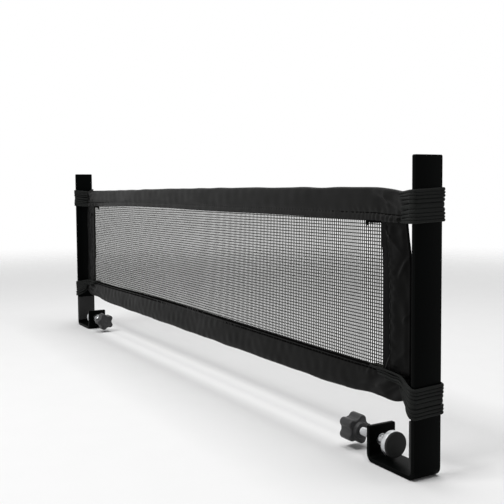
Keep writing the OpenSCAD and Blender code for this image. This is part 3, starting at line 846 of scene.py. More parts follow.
def long_binding(top, sizes):
    """Outer surface of the top or bottom binding, with its flat places, and the columns of its two seams."""
    stations, groove_half, over_top, off_table = 557, 0.8, 0.7, 0.02
    height = (TOP_HIGH[2] - TOP_LOW[2]) if top else FOOT_HIGH[2]
    half, level = long_section(height)
    x = np.linspace(-NET_END, NET_END, stations)
    seam, depth = (sizes.top_seam if top else sizes.foot_seam) / MM, sizes.pucker / MM
    spot, rise = np.meshgrid(x, level, indexing="ij")
    width = np.broadcast_to(half, spot.shape)
    side = np.sign(width) * np.minimum(np.abs(width), 1)
    size = np.abs(spot)
    # The binding gathers towards its ends, most of all at the tips, and tucks round the side binding.
    ends, tips, tuck = eased(size, 215, 318), eased(size, 274, 322), eased(size, 303, 307)
    seed = 11 if top else 47
    # The back has waves of its own.
    turn = spot + 900 * (side > 0)
    groove = np.exp(-((rise - seam) / groove_half) ** 2)
    stitch = 0.5 + 0.5 * np.cos(math.tau * spot / (sizes.stitch_pitch / MM))
    hem = eased(rise, -0.5, 1.2) * (1 - eased(rise, seam - 1.4, seam + 0.2))
    body = eased(rise, seam, seam + 4.5) * (1 - eased(rise, height - 6, height - 0.5))
    above = np.exp(-((rise - seam - 2.4) / 2.0) ** 2)
    swell = (
        # The stitches pull it in, and it is full between them and the fold.
        -0.7 * groove * (0.6 + 0.4 * stitch)
        + 0.62 * body * (1 + 0.35 * ruffle(seed, 70, turn))
        # The hem is rolled and puckers, and so does the strip just past the stitches.
        + 0.25 * hem
        + depth * hem * waves_along(seed + 1, 3.6 if top else 5, turn) * (0.05 + 0.2 * ends + 0.75 * tips)
        + 0.55 * depth * above * waves_along(seed + 2, 8.5, turn) * (0.04 + 0.2 * ends + 0.5 * tips)
        # Long and short waves of the body.
        + 0.3 * body * ruffle(seed + 3, 60, turn, rise * 2.6) * (0.3 + 0.7 * ends)
        + (1.0 if top else 0.6) * body * tips * ruffle(seed + 4, 17, turn + 0.35 * rise, rise * 0.5)
        + 0.1 * ruffle(seed + 5, 16, turn, rise)
        # It stands off where it covers the side binding.
        + 0.85 * tuck * (1 - eased(rise, 3, 8))
    )
    swell = swell + creased(size, rise, TOP_CREASES if top else FOOT_CREASES)
    if top:
        swell = swell - 0.5 * body * eased(size, 321, 326)
    lean = 0.35 * waves_along(seed + 6, 210, spot) * np.sin(math.pi * np.clip(rise / height, 0, 1))
    width = width + side * swell + lean
    share = np.clip(rise / height, 0, 1)
    ripple = 0.14 * waves_along(seed + 7, 9, spot) * ends * (1 - eased(rise, 0, 4))
    fold = 0.2 * waves_along(seed + 8, 60, spot) * eased(rise, height - 6, height) * (1 - tips)
    if top:
        z = TOP_LOW[2] + rise + top_edge(spot) * (1 - share) - top_drop(spot) * share - 0.2 * (1 - share) * tuck
        z = np.minimum(z + ripple + fold, TOP_HIGH[2] + over_top)
    else:
        z = FOOT_HIGH[2] - rise + foot_edge(spot) * (1 - share) + foot_lift(spot) * share
        z = np.maximum(z - ripple + fold, off_table)
    outer = np.stack([spot, width, z], 2)
    flat = lengths(np.stack([half, level, 0 * level], 1))
    front = int(np.argmin(np.abs(level[:RISE_POINTS] - seam)))
    return outer, (x + NET_END) * MM, flat * MM, [front, len(level) - 1 - front]


def side_shift(z, share, end):
    """How far the side binding is drawn along the net at a height and at a share of its width."""
    inner = run_of(z, (24, 1.0), (55, 1.2), (67, 0.5), (82, 0.9), (95, 0.2), (101, 0), (108, -0.9), (115, -1.7),
                   (124, -2.0), (128, -2.2))
    outer = run_of(z, (24, 0.3), (60, 0.5), (98, 0.5), (105, 0.1), (110, -1.0), (113, -1.7), (117, -2.4), (123, -3.2),
                   (128, -3.9))
    if end == "far":
        inner = inner - 2.6 * np.sin(math.pi * np.clip((z - 24) / 100, 0, 1)) ** 2
        outer = outer - 3.6 * np.sin(math.pi * np.clip((z - 24) / 92, 0, 1)) ** 2
    return inner * (1 - share) + outer * share


def side_face(end, sizes):
    """Outer surface of a side binding at the near end's place, with its flat places and seam columns."""
    inner, width = SIDE_LOW[0], SIDE_HIGH[0] - SIDE_LOW[0]
    fold, count = 1.15, 33
    straight = np.linspace(0, 1, count) * (width - fold)
    arc = np.linspace(0, math.pi, 11)[1:-1]
    reach = np.concatenate([straight, width - fold + fold * np.sin(arc), straight[::-1]])
    half = np.concatenate([np.full(count, -1.0), -np.cos(arc) * fold, np.full(count, 1.0)])
    under_foot, under_top, stations = 0.6, 2.2, 131
    z = np.linspace(SIDE_LOW[2] - under_foot, SIDE_HIGH[2] + under_top, stations)
    spot, away = np.meshgrid(z, reach, indexing="ij")
    thick = np.broadcast_to(half, spot.shape)
    side = np.sign(thick) * np.clip(np.abs(thick) / 0.9, 0, 1)
    seam, seed = sizes.side_seam / MM, 71 if end == "near" else 83
    turn = spot + 400 * (side > 0)
    top_end, foot_end = eased(spot, 96, 122), 1 - eased(spot, 26, 46)
    groove = np.exp(-((away - seam) / 0.9) ** 2)
    stitch = 0.5 + 0.5 * np.cos(math.tau * (spot - SIDE_LOW[2]) / (sizes.side_stitch_pitch / MM))
    body = eased(away, seam, seam + 6) * (1 - eased(away, width - 6, width - 1))
    hem = eased(away, -0.5, 1.2) * (1 - eased(away, seam - 1.2, seam))
    swell = (
        -0.35 * groove * (0.5 + 0.5 * stitch)
        + 0.45 * body * (1 + 0.6 * ruffle(seed, 50, turn))
        + 0.3 * hem * waves_along(seed + 1, 8, turn) * (0.5 + 0.5 * np.maximum(top_end, foot_end))
        + 0.3 * np.exp(-((away - seam - 3) / 2.4) ** 2) * waves_along(seed + 2, 9, turn)
        + 0.42 * body * ruffle(seed + 3, 24, turn * 0.8, away * 1.3)
        + 0.3 * body * (top_end + foot_end) * ruffle(seed + 4, 11, turn, away * 0.6)
        + creased(away, spot, SIDE_CREASES)
    )
    # Under the long bindings it lies flat.
    held = 1 - np.maximum(eased(spot, 122, 125), 1 - eased(spot, 26, 29))
    bend = 0.5 * waves_along(seed + 5, 80, spot) * np.sin(math.pi * away / width)
    thick = thick + held * (side * np.clip(swell, -0.5, 1.7) + bend)
    rag = 0.3 * waves_along(seed + 6, 14, spot) * (1 - eased(away, 0, 5))
    outer = np.stack([inner + away + side_shift(spot, away / width, end) + rag, thick, spot], 2)
    flat = lengths(np.stack([reach, half, 0 * half], 1))
    front = int(np.argmin(np.abs(reach[:count] - seam)))
    return outer, (z - z[0]) * MM, flat * MM, [front, len(reach) - 1 - front]


def seam_line(outer, column, reach):
    """A line of points on a surface's column, sunk or raised a little across the net."""
    line = outer[:, column].copy()
    line[:, 1] += reach * np.sign(line[:, 1])
    return line


# ---- The cords' routes, in millimetres, at the near end ----


def hull_round(circles, count=720):
    """The closed plan line of a band stretched round circles (x, y, radius), run clockwise from its lowest x."""
    angles = np.linspace(0, math.tau, 96, endpoint=False)
    cloud = sorted({(round(x + r * math.cos(a), 6), round(y + r * math.sin(a), 6))
                    for x, y, r in circles for a in angles})

    def chain(points):
        kept = []
        for p in points:
            while len(kept) > 1 and ((kept[-1][0] - kept[-2][0]) * (p[1] - kept[-2][1])
                                     - (kept[-1][1] - kept[-2][1]) * (p[0] - kept[-2][0])) <= 0:
                kept.pop()
            kept.append(p)
        return kept[:-1]

    loop = np.array(chain(cloud) + chain(cloud[::-1]))[::-1]
    loop = np.roll(loop, -int(np.argmin(loop[:, 0])), axis=0)
    loop = np.vstack([loop, loop[:1]])
    run = lengths(np.column_stack([loop, np.zeros(len(loop))]))
    goal = np.linspace(0, run[-1], count)
    return np.column_stack([np.interp(goal, run, loop[:, 0]), np.interp(goal, run, loop[:, 1])])


def soften(values, reach):
    """A running average, with the ends kept."""
    padded = np.pad(values, reach, mode="edge")
    return np.convolve(padded, np.ones(2 * reach + 1) / (2 * reach + 1), mode="valid")


# How thin the cord is sideways where it is wound, as a share of its thickness, and how much it is pulled off the post.
CORD_SQUEEZE = 0.86
PULLED = -0.7
# The upper turns: how far each lies below the first one, and how far its front strand dips towards the binding.
TOP_TURNS = (-0.3, 1.75, 3.9, 6.35, 9.5, 12.8, 15.3, 17.45, 19.5)
TOP_DIPS = (1.65, 1.6, 1.4, 1.3, 1.75, 1.95, 1.85, 1.9, 1.35)
# How flat each turn lies on the post, from 0 for a round cord to 1.
TOP_FLATS = (0, 0, 0, 0.2, 1, 0.4, 0, 0, 0)
FOOT_FLATS = (0, 0, 0, 0.85, 0.45, 0, 0, 0)
# The turn spacing for which the places of the turns are given, the gap between the cord and the post, and the step
# from point to point along the cord.
PLACED_PITCH, OFF_POST, CORD_STEP = 2.4, 0.04, 0.62


def upper_route(sizes):
    """Upper winding: from the hem cord's end, down round the post and the binding, turn by turn."""
    d, pitch, turns = sizes.cord_diameter / MM, sizes.cord_pitch / MM, sizes.upper_turns
    r = d / 2 * CORD_SQUEEZE
    # Where the turns go round the binding's end, and how much further out the lower ones do.
    nose_start, nose_shift = 327.0, 2.4
    rng = np.random.RandomState(5)
    top = TOP_HIGH[2] - FOLD_R + 0.05
    core_z = float(hem_height(True, NET_END))
    parts = [np.array([[NET_END - 2, 0, core_z, PULLED], [NET_END + 0.5, 0.2, core_z, PULLED],
                       [NET_END + 4, 2.4, core_z + 0.9, PULLED], [POST_IN - 5, 8.6, top - 0.4, PULLED / 2]])]
    nose_before, room = core_z, 6
    for turn in range(turns):
        nose_x = nose_start + nose_shift * float(eased(turn, 1.5, 4.5)) + rng.uniform(-0.4, 0.4)
        rest = TOP_FLATS[turn]
        close = r * (1 - FLAT_THIN * rest) + OFF_POST
        corners = [(x, y, close) for x in (POST_IN, POST_OUT) for y in (-POST_HALF, POST_HALF)]
        loop = hull_round([*corners, (nose_x, 0, FOLD_R + 0.75)])
        x, y = loop[:, 0], loop[:, 1]
        number = np.arange(len(x))
        on_post, outside = np.flatnonzero(x > POST_IN - 0.5), np.flatnonzero(x > POST_OUT + 0.5 * r)
        right = top - TOP_TURNS[turn] * pitch / PLACED_PITCH
        left = right - (1.2 if turn == 0 else 1.0)
        nose = left - TOP_DIPS[turn]
        z = np.interp(number, [0, on_post[0], outside[0], outside[-1], on_post[-1], len(x) - 1],
                      [nose_before, right + 0.1, right, left, left - 0.15, nose])
        level = PULLED * (1 - rest)
        flat = np.interp(number, [0, on_post[0], on_post[-1], len(x) - 1], [level, rest, rest, level])
        line = np.column_stack([x, y, soften(z, 16), flat])
        # The first turn starts on the post, and the others leave room for the step down from the one before.
        skip = int(np.argmax((y > POST_HALF + 0.9 * r) | (x > POST_IN - 0.5))) if turn == 0 else room
        parts.append(line[skip:-room])
        nose_before = nose
    return smooth_line(evenly(np.vstack(parts), 1.6), CORD_STEP)


# The lower turns, lowest first: the height of each on the post's outer face, and the heights of its front strand at
# five places from the post to the bundle.
FOOT_TURNS = (0.64, 2.9, 5.15, 8.35, 11.6, 14.35, 16.6, 18.7)
FRONT_PLACES = ((348.7, -12.65), (343.3, -10.5), (337.3, -7.7), (331.6, -5.3), (329.9, -4.7))
FRONT_HEIGHTS = ((1.1, 2.6, 4.7, 8.1, 13.7), (3.4, 5.3, 8.1, 11.3, 15.2),
                 (5.6, 7.7, 11.1, 14.7, 16.8), (8.8, 10.4, 13.6, 16.0, 17.7),
                 (12.1, 13.3, 15.4, 17.2, 18.5), (14.9, 15.9, 17.1, 18.5, 19.5),
                 (17.1, 17.5, 18.2, 19.5, 20.5), (19.2, 19.7, 20.5, 21.5, 22.6))
# Where each strand comes through the binding, and the way it then takes along the binding's front, as (x, z).
LEADS = (None, ((329.2, 16.9),), ((327.3, 18.4),), ((329.0, 19.7),), ((311.4, 17.8), (320.5, 18.2), (327.2, 18.6)),
         ((303.4, 20.5), (311.4, 20.7), (320.5, 19.7), (327.2, 19.6)),
         ((302.5, 22.1), (311.2, 22.2), (317.3, 20.4), (325.0, 20.1)),
         ((294.3, 24.0), (302.6, 23.7), (311.9, 23.8), (319.7, 23.4), (326.4, 22.8)), ((326.0, 22.9),))


def lower_route(sizes):
    """Lower winding: from the hem cord's end, up round the post, fanning to a bundle at the binding's corner."""
    d = sizes.cord_diameter / MM
    r = d / 2 * CORD_SQUEEZE + OFF_POST
    rng = np.random.RandomState(8)
    core_z = float(hem_height(False, NET_END))
    knots = [[NET_END - 2, 0, core_z, PULLED], [NET_END + 1.0, -0.8, core_z + 0.4, PULLED],
             [NET_END + 2.6, -6.0, FRONT_HEIGHTS[0][2] + 1.2, PULLED]]
    for turn, heights in enumerate(FRONT_HEIGHTS):
        flat = FOOT_FLATS[turn]
        off = r * (1 - FLAT_THIN * flat)
        if turn:
            (x, z), *rest = LEADS[turn]
            knots += [[x, 0, z, PULLED], [x + 1.0, -3.1, z, PULLED]]
            knots += [[x, -3.5 - 0.35 * (turn % 2), z, PULLED] for x, z in rest]
        legs = [[x, y, z, flat * share + PULLED * (1 - share)]
                for (x, y), z, share in zip(FRONT_PLACES, heights, (1, 0.85, 0.5, 0.2, 0))][::-1]
        knots += legs if turn else legs[3:]
        z = FOOT_TURNS[turn] + rng.uniform(-0.06, 0.06)
        knots += [[POST_OUT + out * off, y + over * off, z + rise, flat] for out, y, over, rise in (
            (0, -POST_HALF, -1, 0.12), (0.7, -POST_HALF, -0.7, 0), (1, -POST_HALF, 0, 0), (1, 0, 0, 0.5),
            (1, POST_HALF, 0, 1.0), (0.7, POST_HALF, 0.7, 1.05), (0, POST_HALF, 1, 1.1))]
        # Back round the inside, and in through the binding where the next strand comes out.
        x_in, z_in = LEADS[turn + 1][0]
        knots += [[x, -y, z + 0.75 * share, min(flat, share - 1)]
                  for ((x, y), z), share in zip(zip(FRONT_PLACES, heights), (1.4, 1.2, 1, 0.8, 0.5))]
        if x_in < 320:
            knots.append([(x_in + 329) / 2, 3.9, (z_in + heights[4]) / 2, PULLED])
        knots.append([x_in + 1.0, 3.1, z_in, PULLED])
    (x, z), = LEADS[-1]
    knots += [[x, 0.4, z, PULLED]]
    return spread_apart(smooth_line(knots, 1.0), d)


def spread_apart(wound, d):
    """Moves the free stretches of a wound line until its squeezed turns lie beside each other."""
    rounds, longest_push = 50, 0.3
    line, flat = wound[:, :3].copy(), wound[:, 3]
    inside = (np.abs(line[:, 1]) < 2.6) & (line[:, 0] < 333)
    held = (line[:, 0] > POST_IN - 1.5) | inside
    loose = np.where(held, 0.0, 1.0)
    number = np.arange(len(line))
    # The stretched cord is thinner where its strands crowd together.
    reach = d * CORD_SQUEEZE
    for _ in range(rounds):
        away = line[:, None] - line[None]
        thin = away * (1 / CORD_SQUEEZE, 1 / CORD_SQUEEZE, 1)
        far = np.sqrt((thin**2).sum(2)) + 1e-6
        near = (far < reach) & (np.abs(number[:, None] - number[None]) > 6)
        push = (away / far[:, :, None] * ((reach - far) * near)[:, :, None]).sum(1)
        size = np.linalg.norm(push, axis=1)
        push *= np.where(size > longest_push, longest_push / np.maximum(size, 1e-6), 1.0)[:, None]
        line += 0.5 * push * loose[:, None]
        line[1:-1] += 0.2 * loose[1:-1, None] * ((line[:-2] + line[2:]) / 2 - line[1:-1])
        skin = FOLD_R + 0.25 + d / 2 * CORD_SQUEEZE
        over = (loose > 0) & (line[:, 0] < NET_END) & (np.abs(line[:, 1]) < skin)
        line[over, 1] += 0.3 * (np.sign(line[over, 1]) * skin - line[over, 1])
    return evenly(smooth_line(evenly(np.column_stack([line, flat]), 1.3), CORD_STEP), CORD_STEP)


# ---- Operators, one for each piece or group of like pieces ----


class NETSET_OT_finishes(bpy.types.Operator):
    """Make the finishes of all pieces"""

    bl_idname = "netset.finishes"
    bl_label = "Finishes"

    def execute(self, context):
        colours = context.scene.net_set_colours
        powder_coat_finish(colours.powder_coat)
        powder_coat_finish(colours.powder_coat, edge_highlight=True)
        # One leatherette, painted lighter or darker for each binding as light and shade: the top binding lightest, as
        # if lit from above, and the side ones darkest.
        for part, shade, shine in (("top", 1.0, 0.06), ("bottom", 0.62, 0.045), ("side", 0.42, 0.03)):
            leatherette_finish(part, [shade * c for c in colours.leatherette], shine)
        cord_finish(colours.elastic_cord)
        yarn_finish("mesh_yarn", colours.mesh_yarn, 0.02)
        # Painted shade: the leatherette at about a third of its colour, without reflection.
        recess_shade_finish([0.35 * c for c in colours.leatherette])
        yarn_finish("sewing_thread", colours.sewing_thread, 0.02)
        rubber_finish(colours.rubber)
        steel_finish("zinc_steel", colours.zinc_steel, 0.32, 900.0)
        steel_finish("spring_steel", colours.spring_steel, 0.36, 1500.0)
        plastic_finish("knob_plastic", colours.knob_plastic, 0.45, 1900.0)
        plastic_finish("cap_plastic", colours.cap_plastic, 0.55, 2400.0)
        return {"FINISHED"}


class NETSET_OT_posts(bpy.types.Operator):
    """Make the two bent steel posts"""

    bl_idname = "netset.posts"
    bl_label = "Posts"

    def execute(self, context):
        edge_round = context.scene.net_set_sizes.edge_round
        for end, _ in ENDS:
            # The rounded edges take the coat that is painted lighter, as an edge highlight.
            hard_piece(end, "post", "steel_post", "net", ("powder_coat", "powder_coat_edge_highlight"), edge_round)
        return {"FINISHED"}


class NETSET_OT_jaws(bpy.types.Operator):
    """Make the rubber jaw liners and the weld nuts"""

    bl_idname = "netset.jaws"
    bl_label = "Jaw liners and nuts"

    def execute(self, context):
        edge_round = context.scene.net_set_sizes.edge_round
        for end, _ in ENDS:
            hard_piece(end, "jaw_liner", "rubber_liner", "net", ("rubber",), edge_round * 1.2)
            hard_piece(end, "clamp_nut", "weld_nut", "net", ("zinc_steel",), edge_round * 0.8)
        return {"FINISHED"}


class NETSET_OT_screws(bpy.types.Operator):
    """Make the clamp screws with their threads, and dress the retaining rings"""

    bl_idname = "netset.screws"
    bl_label = "Clamp screws"

    def execute(self, context):
        low, high = (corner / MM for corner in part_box("near_clamp_screw"))
        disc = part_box("near_pad_disc")[0].x / MM
        ring_low, ring_high = (corner.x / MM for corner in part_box("near_pad_ring"))
        pitch = context.scene.net_set_sizes.thread_pitch / MM
        head_long, plain_long, thread_r, spigot_r, groove_r = 4.0, 13.5, 2.985, 2.15, 1.8
        tooth_deep, run_in, run_out, chamfer = 0.54 * pitch, 2, 0.9, 0.35
        start, stop = low.x + plain_long, disc - chamfer
        sides, steps = 40, 9
        angles = np.arange(sides) * math.tau / sides
        rings = []
        for x in [low.x + head_long, start - 0.6, *np.arange(start, stop, pitch / steps), stop]:
            depth = tooth_deep * float(eased(x, start, start + run_in) * (1 - eased(x, stop - run_out, stop)))
            phase = (x / pitch - angles / math.tau) % 1.0
            tooth = np.clip(np.abs(phase - 0.5) * 2 * 1.25 - 0.1, 0, 1)
            rings.append(axle_ring(x, thread_r - depth * tooth - (chamfer if x == stop else 0.0), angles))
        # The spigot beyond the thread, with the groove of the retaining ring.
        for x, radius in ((stop + 0.02, spigot_r), (ring_low - 0.04, spigot_r), (ring_low - 0.03, groove_r),
                          (ring_high + 0.03, groove_r), (ring_high + 0.04, spigot_r), (high.x - chamfer, spigot_r),
                          (high.x, groove_r)):
            rings.append(axle_ring(x, radius, angles))
        shape = axle_shape(rings, np.array([ring[0, 0] for ring in rings]) * MM, 0.019)
        sixth = math.pi / 3
        wide_y, wide_z = high.y - low.y, high.z - low.z
        on_flat = wide_y > wide_z
        across_flats = wide_y * math.cos(sixth / 2) if on_flat else wide_z
        corner = across_flats / 2 / math.cos(sixth / 2)

        def hexagon(angle, radius):
            """The head's six flats, with its corners cut to a radius."""
            turn = (angle + sixth / 2 + (sixth / 2 if on_flat else 0.0)) % sixth - sixth / 2
            return np.minimum(across_flats / 2 / np.cos(turn), radius)

        shape.join(lathe([(low.x, corner - 1.2), (low.x + 0.45, corner - 0.1), (low.x + 3.6, corner - 0.1),
                          (low.x + head_long, corner - 0.6)], 96, hexagon))
        for end, side in ENDS:
            piece = shape.at_end(side, keep_hand=True).piece(f"{end}_threaded_screw", "zinc_steel", 50)
            settle_piece(piece, f"{end}_screw", "zinc_steel", f"{end}_clamp_screw")
            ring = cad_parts[f"{end}_pad_ring"]
            ring.data.materials.clear()
            ring.data.materials.append(finish_called("spring_steel"))
        return {"FINISHED"}


class NETSET_OT_pads(bpy.types.Operator):
    """Make the pressure discs and their rubber faces"""

    bl_idname = "netset.pads"
    bl_label = "Pressure pads"

    def execute(self, context):
        edge_round = context.scene.net_set_sizes.edge_round
        for end, _ in ENDS:
            hard_piece(end, "pad_disc", "pressure_disc", f"{end}_pad", ("zinc_steel",), edge_round)
            hard_piece(end, "pad_face", "rubber_face", f"{end}_pad", ("rubber",), edge_round * 1.3)
        return {"FINISHED"}


class NETSET_OT_knobs(bpy.types.Operator):
    """Make the lobed knobs and the caps in their backs"""

    bl_idname = "netset.knobs"
    bl_label = "Knobs and caps"

    def execute(self, context):
        low, high = (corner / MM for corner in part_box("near_knob"))
        cap_low, cap_high = (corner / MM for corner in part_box("near_knob_cap"))
        lobes, lobe_r, collar, rim, bore, body_long = 5, 3.4, 6.0, 1.3, 3.1, 13.0
        back, front = low.x, high.x
        body_front = back + body_long
        cap_r = (cap_high.y - cap_low.y) / 2
        outer = max(abs(low.y), abs(high.y), AXLE_Z - low.z, high.z - AXLE_Z)
        fine = np.linspace(0, math.tau, 1440, endpoint=False)
        reach = np.full(len(fine), cap_r + 1.2)
        for number in range(lobes):
            turn = fine - number * math.tau / lobes
            middle = outer - lobe_r
            inside = lobe_r**2 - (middle * np.sin(turn)) ** 2
            arm = np.where(inside > 0, middle * np.cos(turn) + np.sqrt(np.maximum(inside, 0)), 0)
            reach = np.maximum(reach, arm)
        near = 24
        wide = np.concatenate([reach[-near:], reach, reach[:near]])
        reach = np.minimum(np.convolve(wide, np.ones(2 * near + 1) / (2 * near + 1), mode="valid"), outer)

        def lobed(angle, radius):
            """Radius is how far the outline is drawn in; a negative one is a plain circle."""
            if radius < 0:
                return np.full(len(angle), -radius)
            return np.interp(angle, fine, reach, period=math.tau) - radius

        corners = np.linspace(0, math.pi / 2, 6)
        profile = [(cap_high.x - 0.02, -cap_r - 0.05), (back + 0.3, -cap_r - 0.05), (back, -cap_r - 0.35)]
        profile += [(back + rim * (1 - math.sin(a)), rim * (1 - math.cos(a))) for a in corners[::-1]]
        profile += [(body_front - rim * (1 - math.sin(a)), rim * (1 - math.cos(a))) for a in corners]
        profile += [(body_front, -collar - 0.8), (body_front + 0.35, -collar - 0.2), (body_front + 0.9, -collar + 0.05),
                    (front - 0.5, -collar + 0.1), (front - 0.15, -collar + 0.25), (front, -collar + 0.6),
                    (front, -bore)]
        dome = [(cap_high.x - 0.05, cap_r - 0.3), (cap_high.x - 0.4, cap_r - 0.02), (cap_low.x + 0.35, cap_r - 0.02),
                (cap_low.x + 0.08, cap_r - 0.35), (cap_low.x + 0.1, cap_r - 1.5), (cap_low.x + 0.35, cap_r - 1.75),
                (cap_low.x + 0.35, 1.4), (cap_low.x + 0.12, 1.15), (cap_low.x + 0.08, 0.4)]
        shapes = ((lathe(profile, 160, lobed), "lobed_knob", "knob_plastic", "knob"),
                  (lathe(dome[::-1], 72), "cap", "cap_plastic", "knob_cap"))
        for end, side in ENDS:
            for shape, name, finish, part in shapes:
                piece = shape.at_end(side, keep_hand=True).piece(f"{end}_{name}", finish, 40)
                settle_piece(piece, f"{end}_screw", finish, f"{end}_{part}")
        return {"FINISHED"}


class NETSET_OT_mesh(bpy.types.Operator):
    """Make the square mesh, strand by strand, and its doubled edge under the top binding"""

    bl_idname = "netset.mesh"
    bl_label = "Net mesh"

    def execute(self, context):
        sizes = context.scene.net_set_sizes
        # How far the mesh runs in under the bottom, top and side bindings.
        under_foot, under_top, under_side = 1.6, 5.2, 4.5
        low, high = FOOT_HIGH[2] - under_foot, TOP_LOW[2] + under_top
        half = SIDE_LOW[0] + under_side
        tree = strands_tree()
        values = {
            "Half length": half * MM, "Bottom": low * MM, "Top": high * MM,
            "Uprights": int(round(2 * half * MM / sizes.mesh_across)) + 1,
            "Levels": int(round((high - low) * MM / sizes.mesh_up)) + 1,
            "Upright width": sizes.upright_width, "Level width": sizes.level_width,
            "Strand depth": sizes.strand_depth, "Knot width": sizes.knot,
            "Drift": sizes.strand_drift, "Seed": 3.7, "Finish": finish_called("mesh_yarn")}
        for knots, name, nodes in ((False, "net_strands", ("net_mesh",)), (True, "net_knots", ())):
            net = add_object(name, bpy.data.meshes.new(name))
            run_tree(net, tree, {**values, "Knots": knots})
            settle_piece(net, "net", "mesh_yarn", *nodes)
        # The doubled edge is painted near-black, as the shade in the slit under the top binding.
        edge = self.doubled_edge()
        for end, side in ENDS:
            settle_piece(edge.at_end(side).piece(f"{end}_mesh_edge", "painted_recess_shade", 30), "net", "mesh_yarn")
        return {"FINISHED"}

    def doubled_edge(self):
        """The mesh's folded edge, which shows below the top binding at each end, with a small tab. Its near-black
        finish is painted shade of the slit under the binding.
        """
        count, tall, tab = 30, 4, 1.9
        x = np.linspace(286.2, SIDE_LOW[0] + 3, count)
        lower = (123.6 + 0.5 * eased(x, 290, 306) + 0.15 * waves_along(31, 5, x)
                 - tab * (1 - eased(x, 287.6, 288.6)))
        wave = 0.08 * waves_along(32, 6, x)
        sides = ((-0.5, tall), (-0.55, 0), (0.55, 0), (0.5, tall))
        points = np.stack([np.column_stack([x, y + wave, lower + rise]) for y, rise in sides], 1)
        shape = Shape()
        first = shape.add(points)
        shape.sheet(first, count, len(sides), x * MM, np.arange(len(sides) + 1) * 0.002, closed=True)
        for row, turned in ((0, True), (count - 1, False)):
            start = first + row * len(sides)
            shape.fan(points[row].mean(0), range(start, start + len(sides)), turned)
        return shape


class NETSET_OT_long_bindings(bpy.types.Operator):
    """Make the top and bottom bindings from folded leatherette, with the cords in their hems"""

    bl_idname = "netset.long_bindings"
    bl_label = "Long bindings"

    def execute(self, context):
        sizes = context.scene.net_set_sizes
        # The cord is stretched thinner in the hem, and ends a little inside it.
        hem_share, cord_short = 0.92, 1.5
        for top, level in ((True, "top"), (False, "bottom")):
            outer, along, across, _ = long_binding(top, sizes)
            # Each long binding takes its own copy of the leatherette, painted with its own light and shade.
            piece = folded_strip(outer, sizes.wall / MM, along, across).piece(
                f"{level}_tape", f"{level}_leatherette", 70)
            # Painted shade in bands: along the top seam towards the ends, and along the bottom binding's sewn edges and
            # its seam.
            if top:
                seam = sizes.top_seam / MM
                bands = [(seam - 0.3, seam + 0.55, 262)]
            else:
                seam = sizes.foot_seam / MM
                bands = [(0, 1.6, 0), (seam - 1.0, seam + 0.5, 80)]
            paint_recess_shade(piece, float(across[-1]), *bands)
            folded_sheet(piece, f"{level}_binding")
            x = np.linspace(-NET_END + cord_short, NET_END - cord_short, 260)
            hem = tube(np.column_stack([x, 0 * x, hem_height(top, x)]), sizes.cord_diameter / MM / 2 * hem_share, 12)
            settle_piece(hem.piece(f"{level}_hem_cord", "elastic_cord"), "net", "elastic_cord", f"{level}_cord")
        return {"FINISHED"}


class NETSET_OT_side_bindings(bpy.types.Operator):
    """Make the two side bindings from folded leatherette"""

    bl_idname = "netset.side_bindings"
    bl_label = "Side bindings"

    def execute(self, context):
        sizes = context.scene.net_set_sizes
        for end, side in ENDS:
            outer, along, across, _ = side_face(end, sizes)
            shape = folded_strip(outer, sizes.wall / MM * 0.8, along, across).at_end(side)
            # The side leatherette is the copy painted darkest, as shade.
            folded_sheet(shape.piece(f"{end}_side_tape", "side_leatherette", 70), f"{end}_side_binding")
        return {"FINISHED"}


class NETSET_OT_stitching(bpy.types.Operator):
    """Sew the bindings: stitches along every seam, and a few loose thread ends"""

    bl_idname = "netset.stitching"
    bl_label = "Stitching"

    def execute(self, context):
        sizes = context.scene.net_set_sizes
        tree = stitches_tree()
        # How far the stitches stand off the binding, and the share of their spacing that is thread.
        sunk, proud, long_share, side_share, tail_share = -0.16, 0.08, 0.62, 0.66, 0.7
        seams = []
        for top, name in ((True, "top_seam"), (False, "bottom_seam")):
            outer, _, _, columns = long_binding(top, sizes)
            lines = [seam_line(outer, column, sunk)[5:-5] for column in columns]
            seams.append((name, lines, sizes.stitch_pitch, long_share))
        for end, side in ENDS:
            outer, _, _, columns = side_face(end, sizes)
            lines = [seam_line(outer, column, proud)[3:-4] * (side, 1, 1) for column in columns]
            seams.append((f"{end}_side_seam", lines, sizes.side_stitch_pitch, side_share))
        for number, (name, lines, pitch, share) in enumerate(seams):
            mesh = bpy.data.meshes.new(name)
            points, edges = [], []
            for line in lines:
                first = len(points)
                points += (line * MM).tolist()
                edges += [(first + i, first + i + 1) for i in range(len(line) - 1)]
            mesh.from_pydata(points, edges, [])
            seam = add_object(name, mesh)
            run_tree(seam, tree, {"Spacing": pitch, "Stitch length": pitch * share, "Thread": sizes.thread,
                                  "Seed": number, "Finish": finish_called("sewing_thread")})
            settle_piece(seam, "net", "leatherette")
        tails = {
            "foot_thread_end": [(313.8, -1.7, 32.6), (313.6, -2.3, 30.9), (312.8, -3.0, 27.5), (311.4, -2.9, 24.8)],
            "top_thread_end": [(286.9, -0.5, 125.4), (287.0, -0.8, 123.4), (288.2, -0.9, 121.4)],
            "seam_thread_end": [(312.5, -1.9, 116.0), (313.8, -2.4, 114.6), (313.4, -2.3, 112.4),
                                (314.4, -2.2, 111.4)],
        }
        for end, side in ENDS:
            for name, knots in tails.items():
                shape = tube(smooth_line(knots, 0.5), sizes.thread / MM * tail_share, 8).at_end(side)
                settle_piece(shape.piece(f"{end}_{name}", "sewing_thread"), "net", "leatherette")
        return {"FINISHED"}


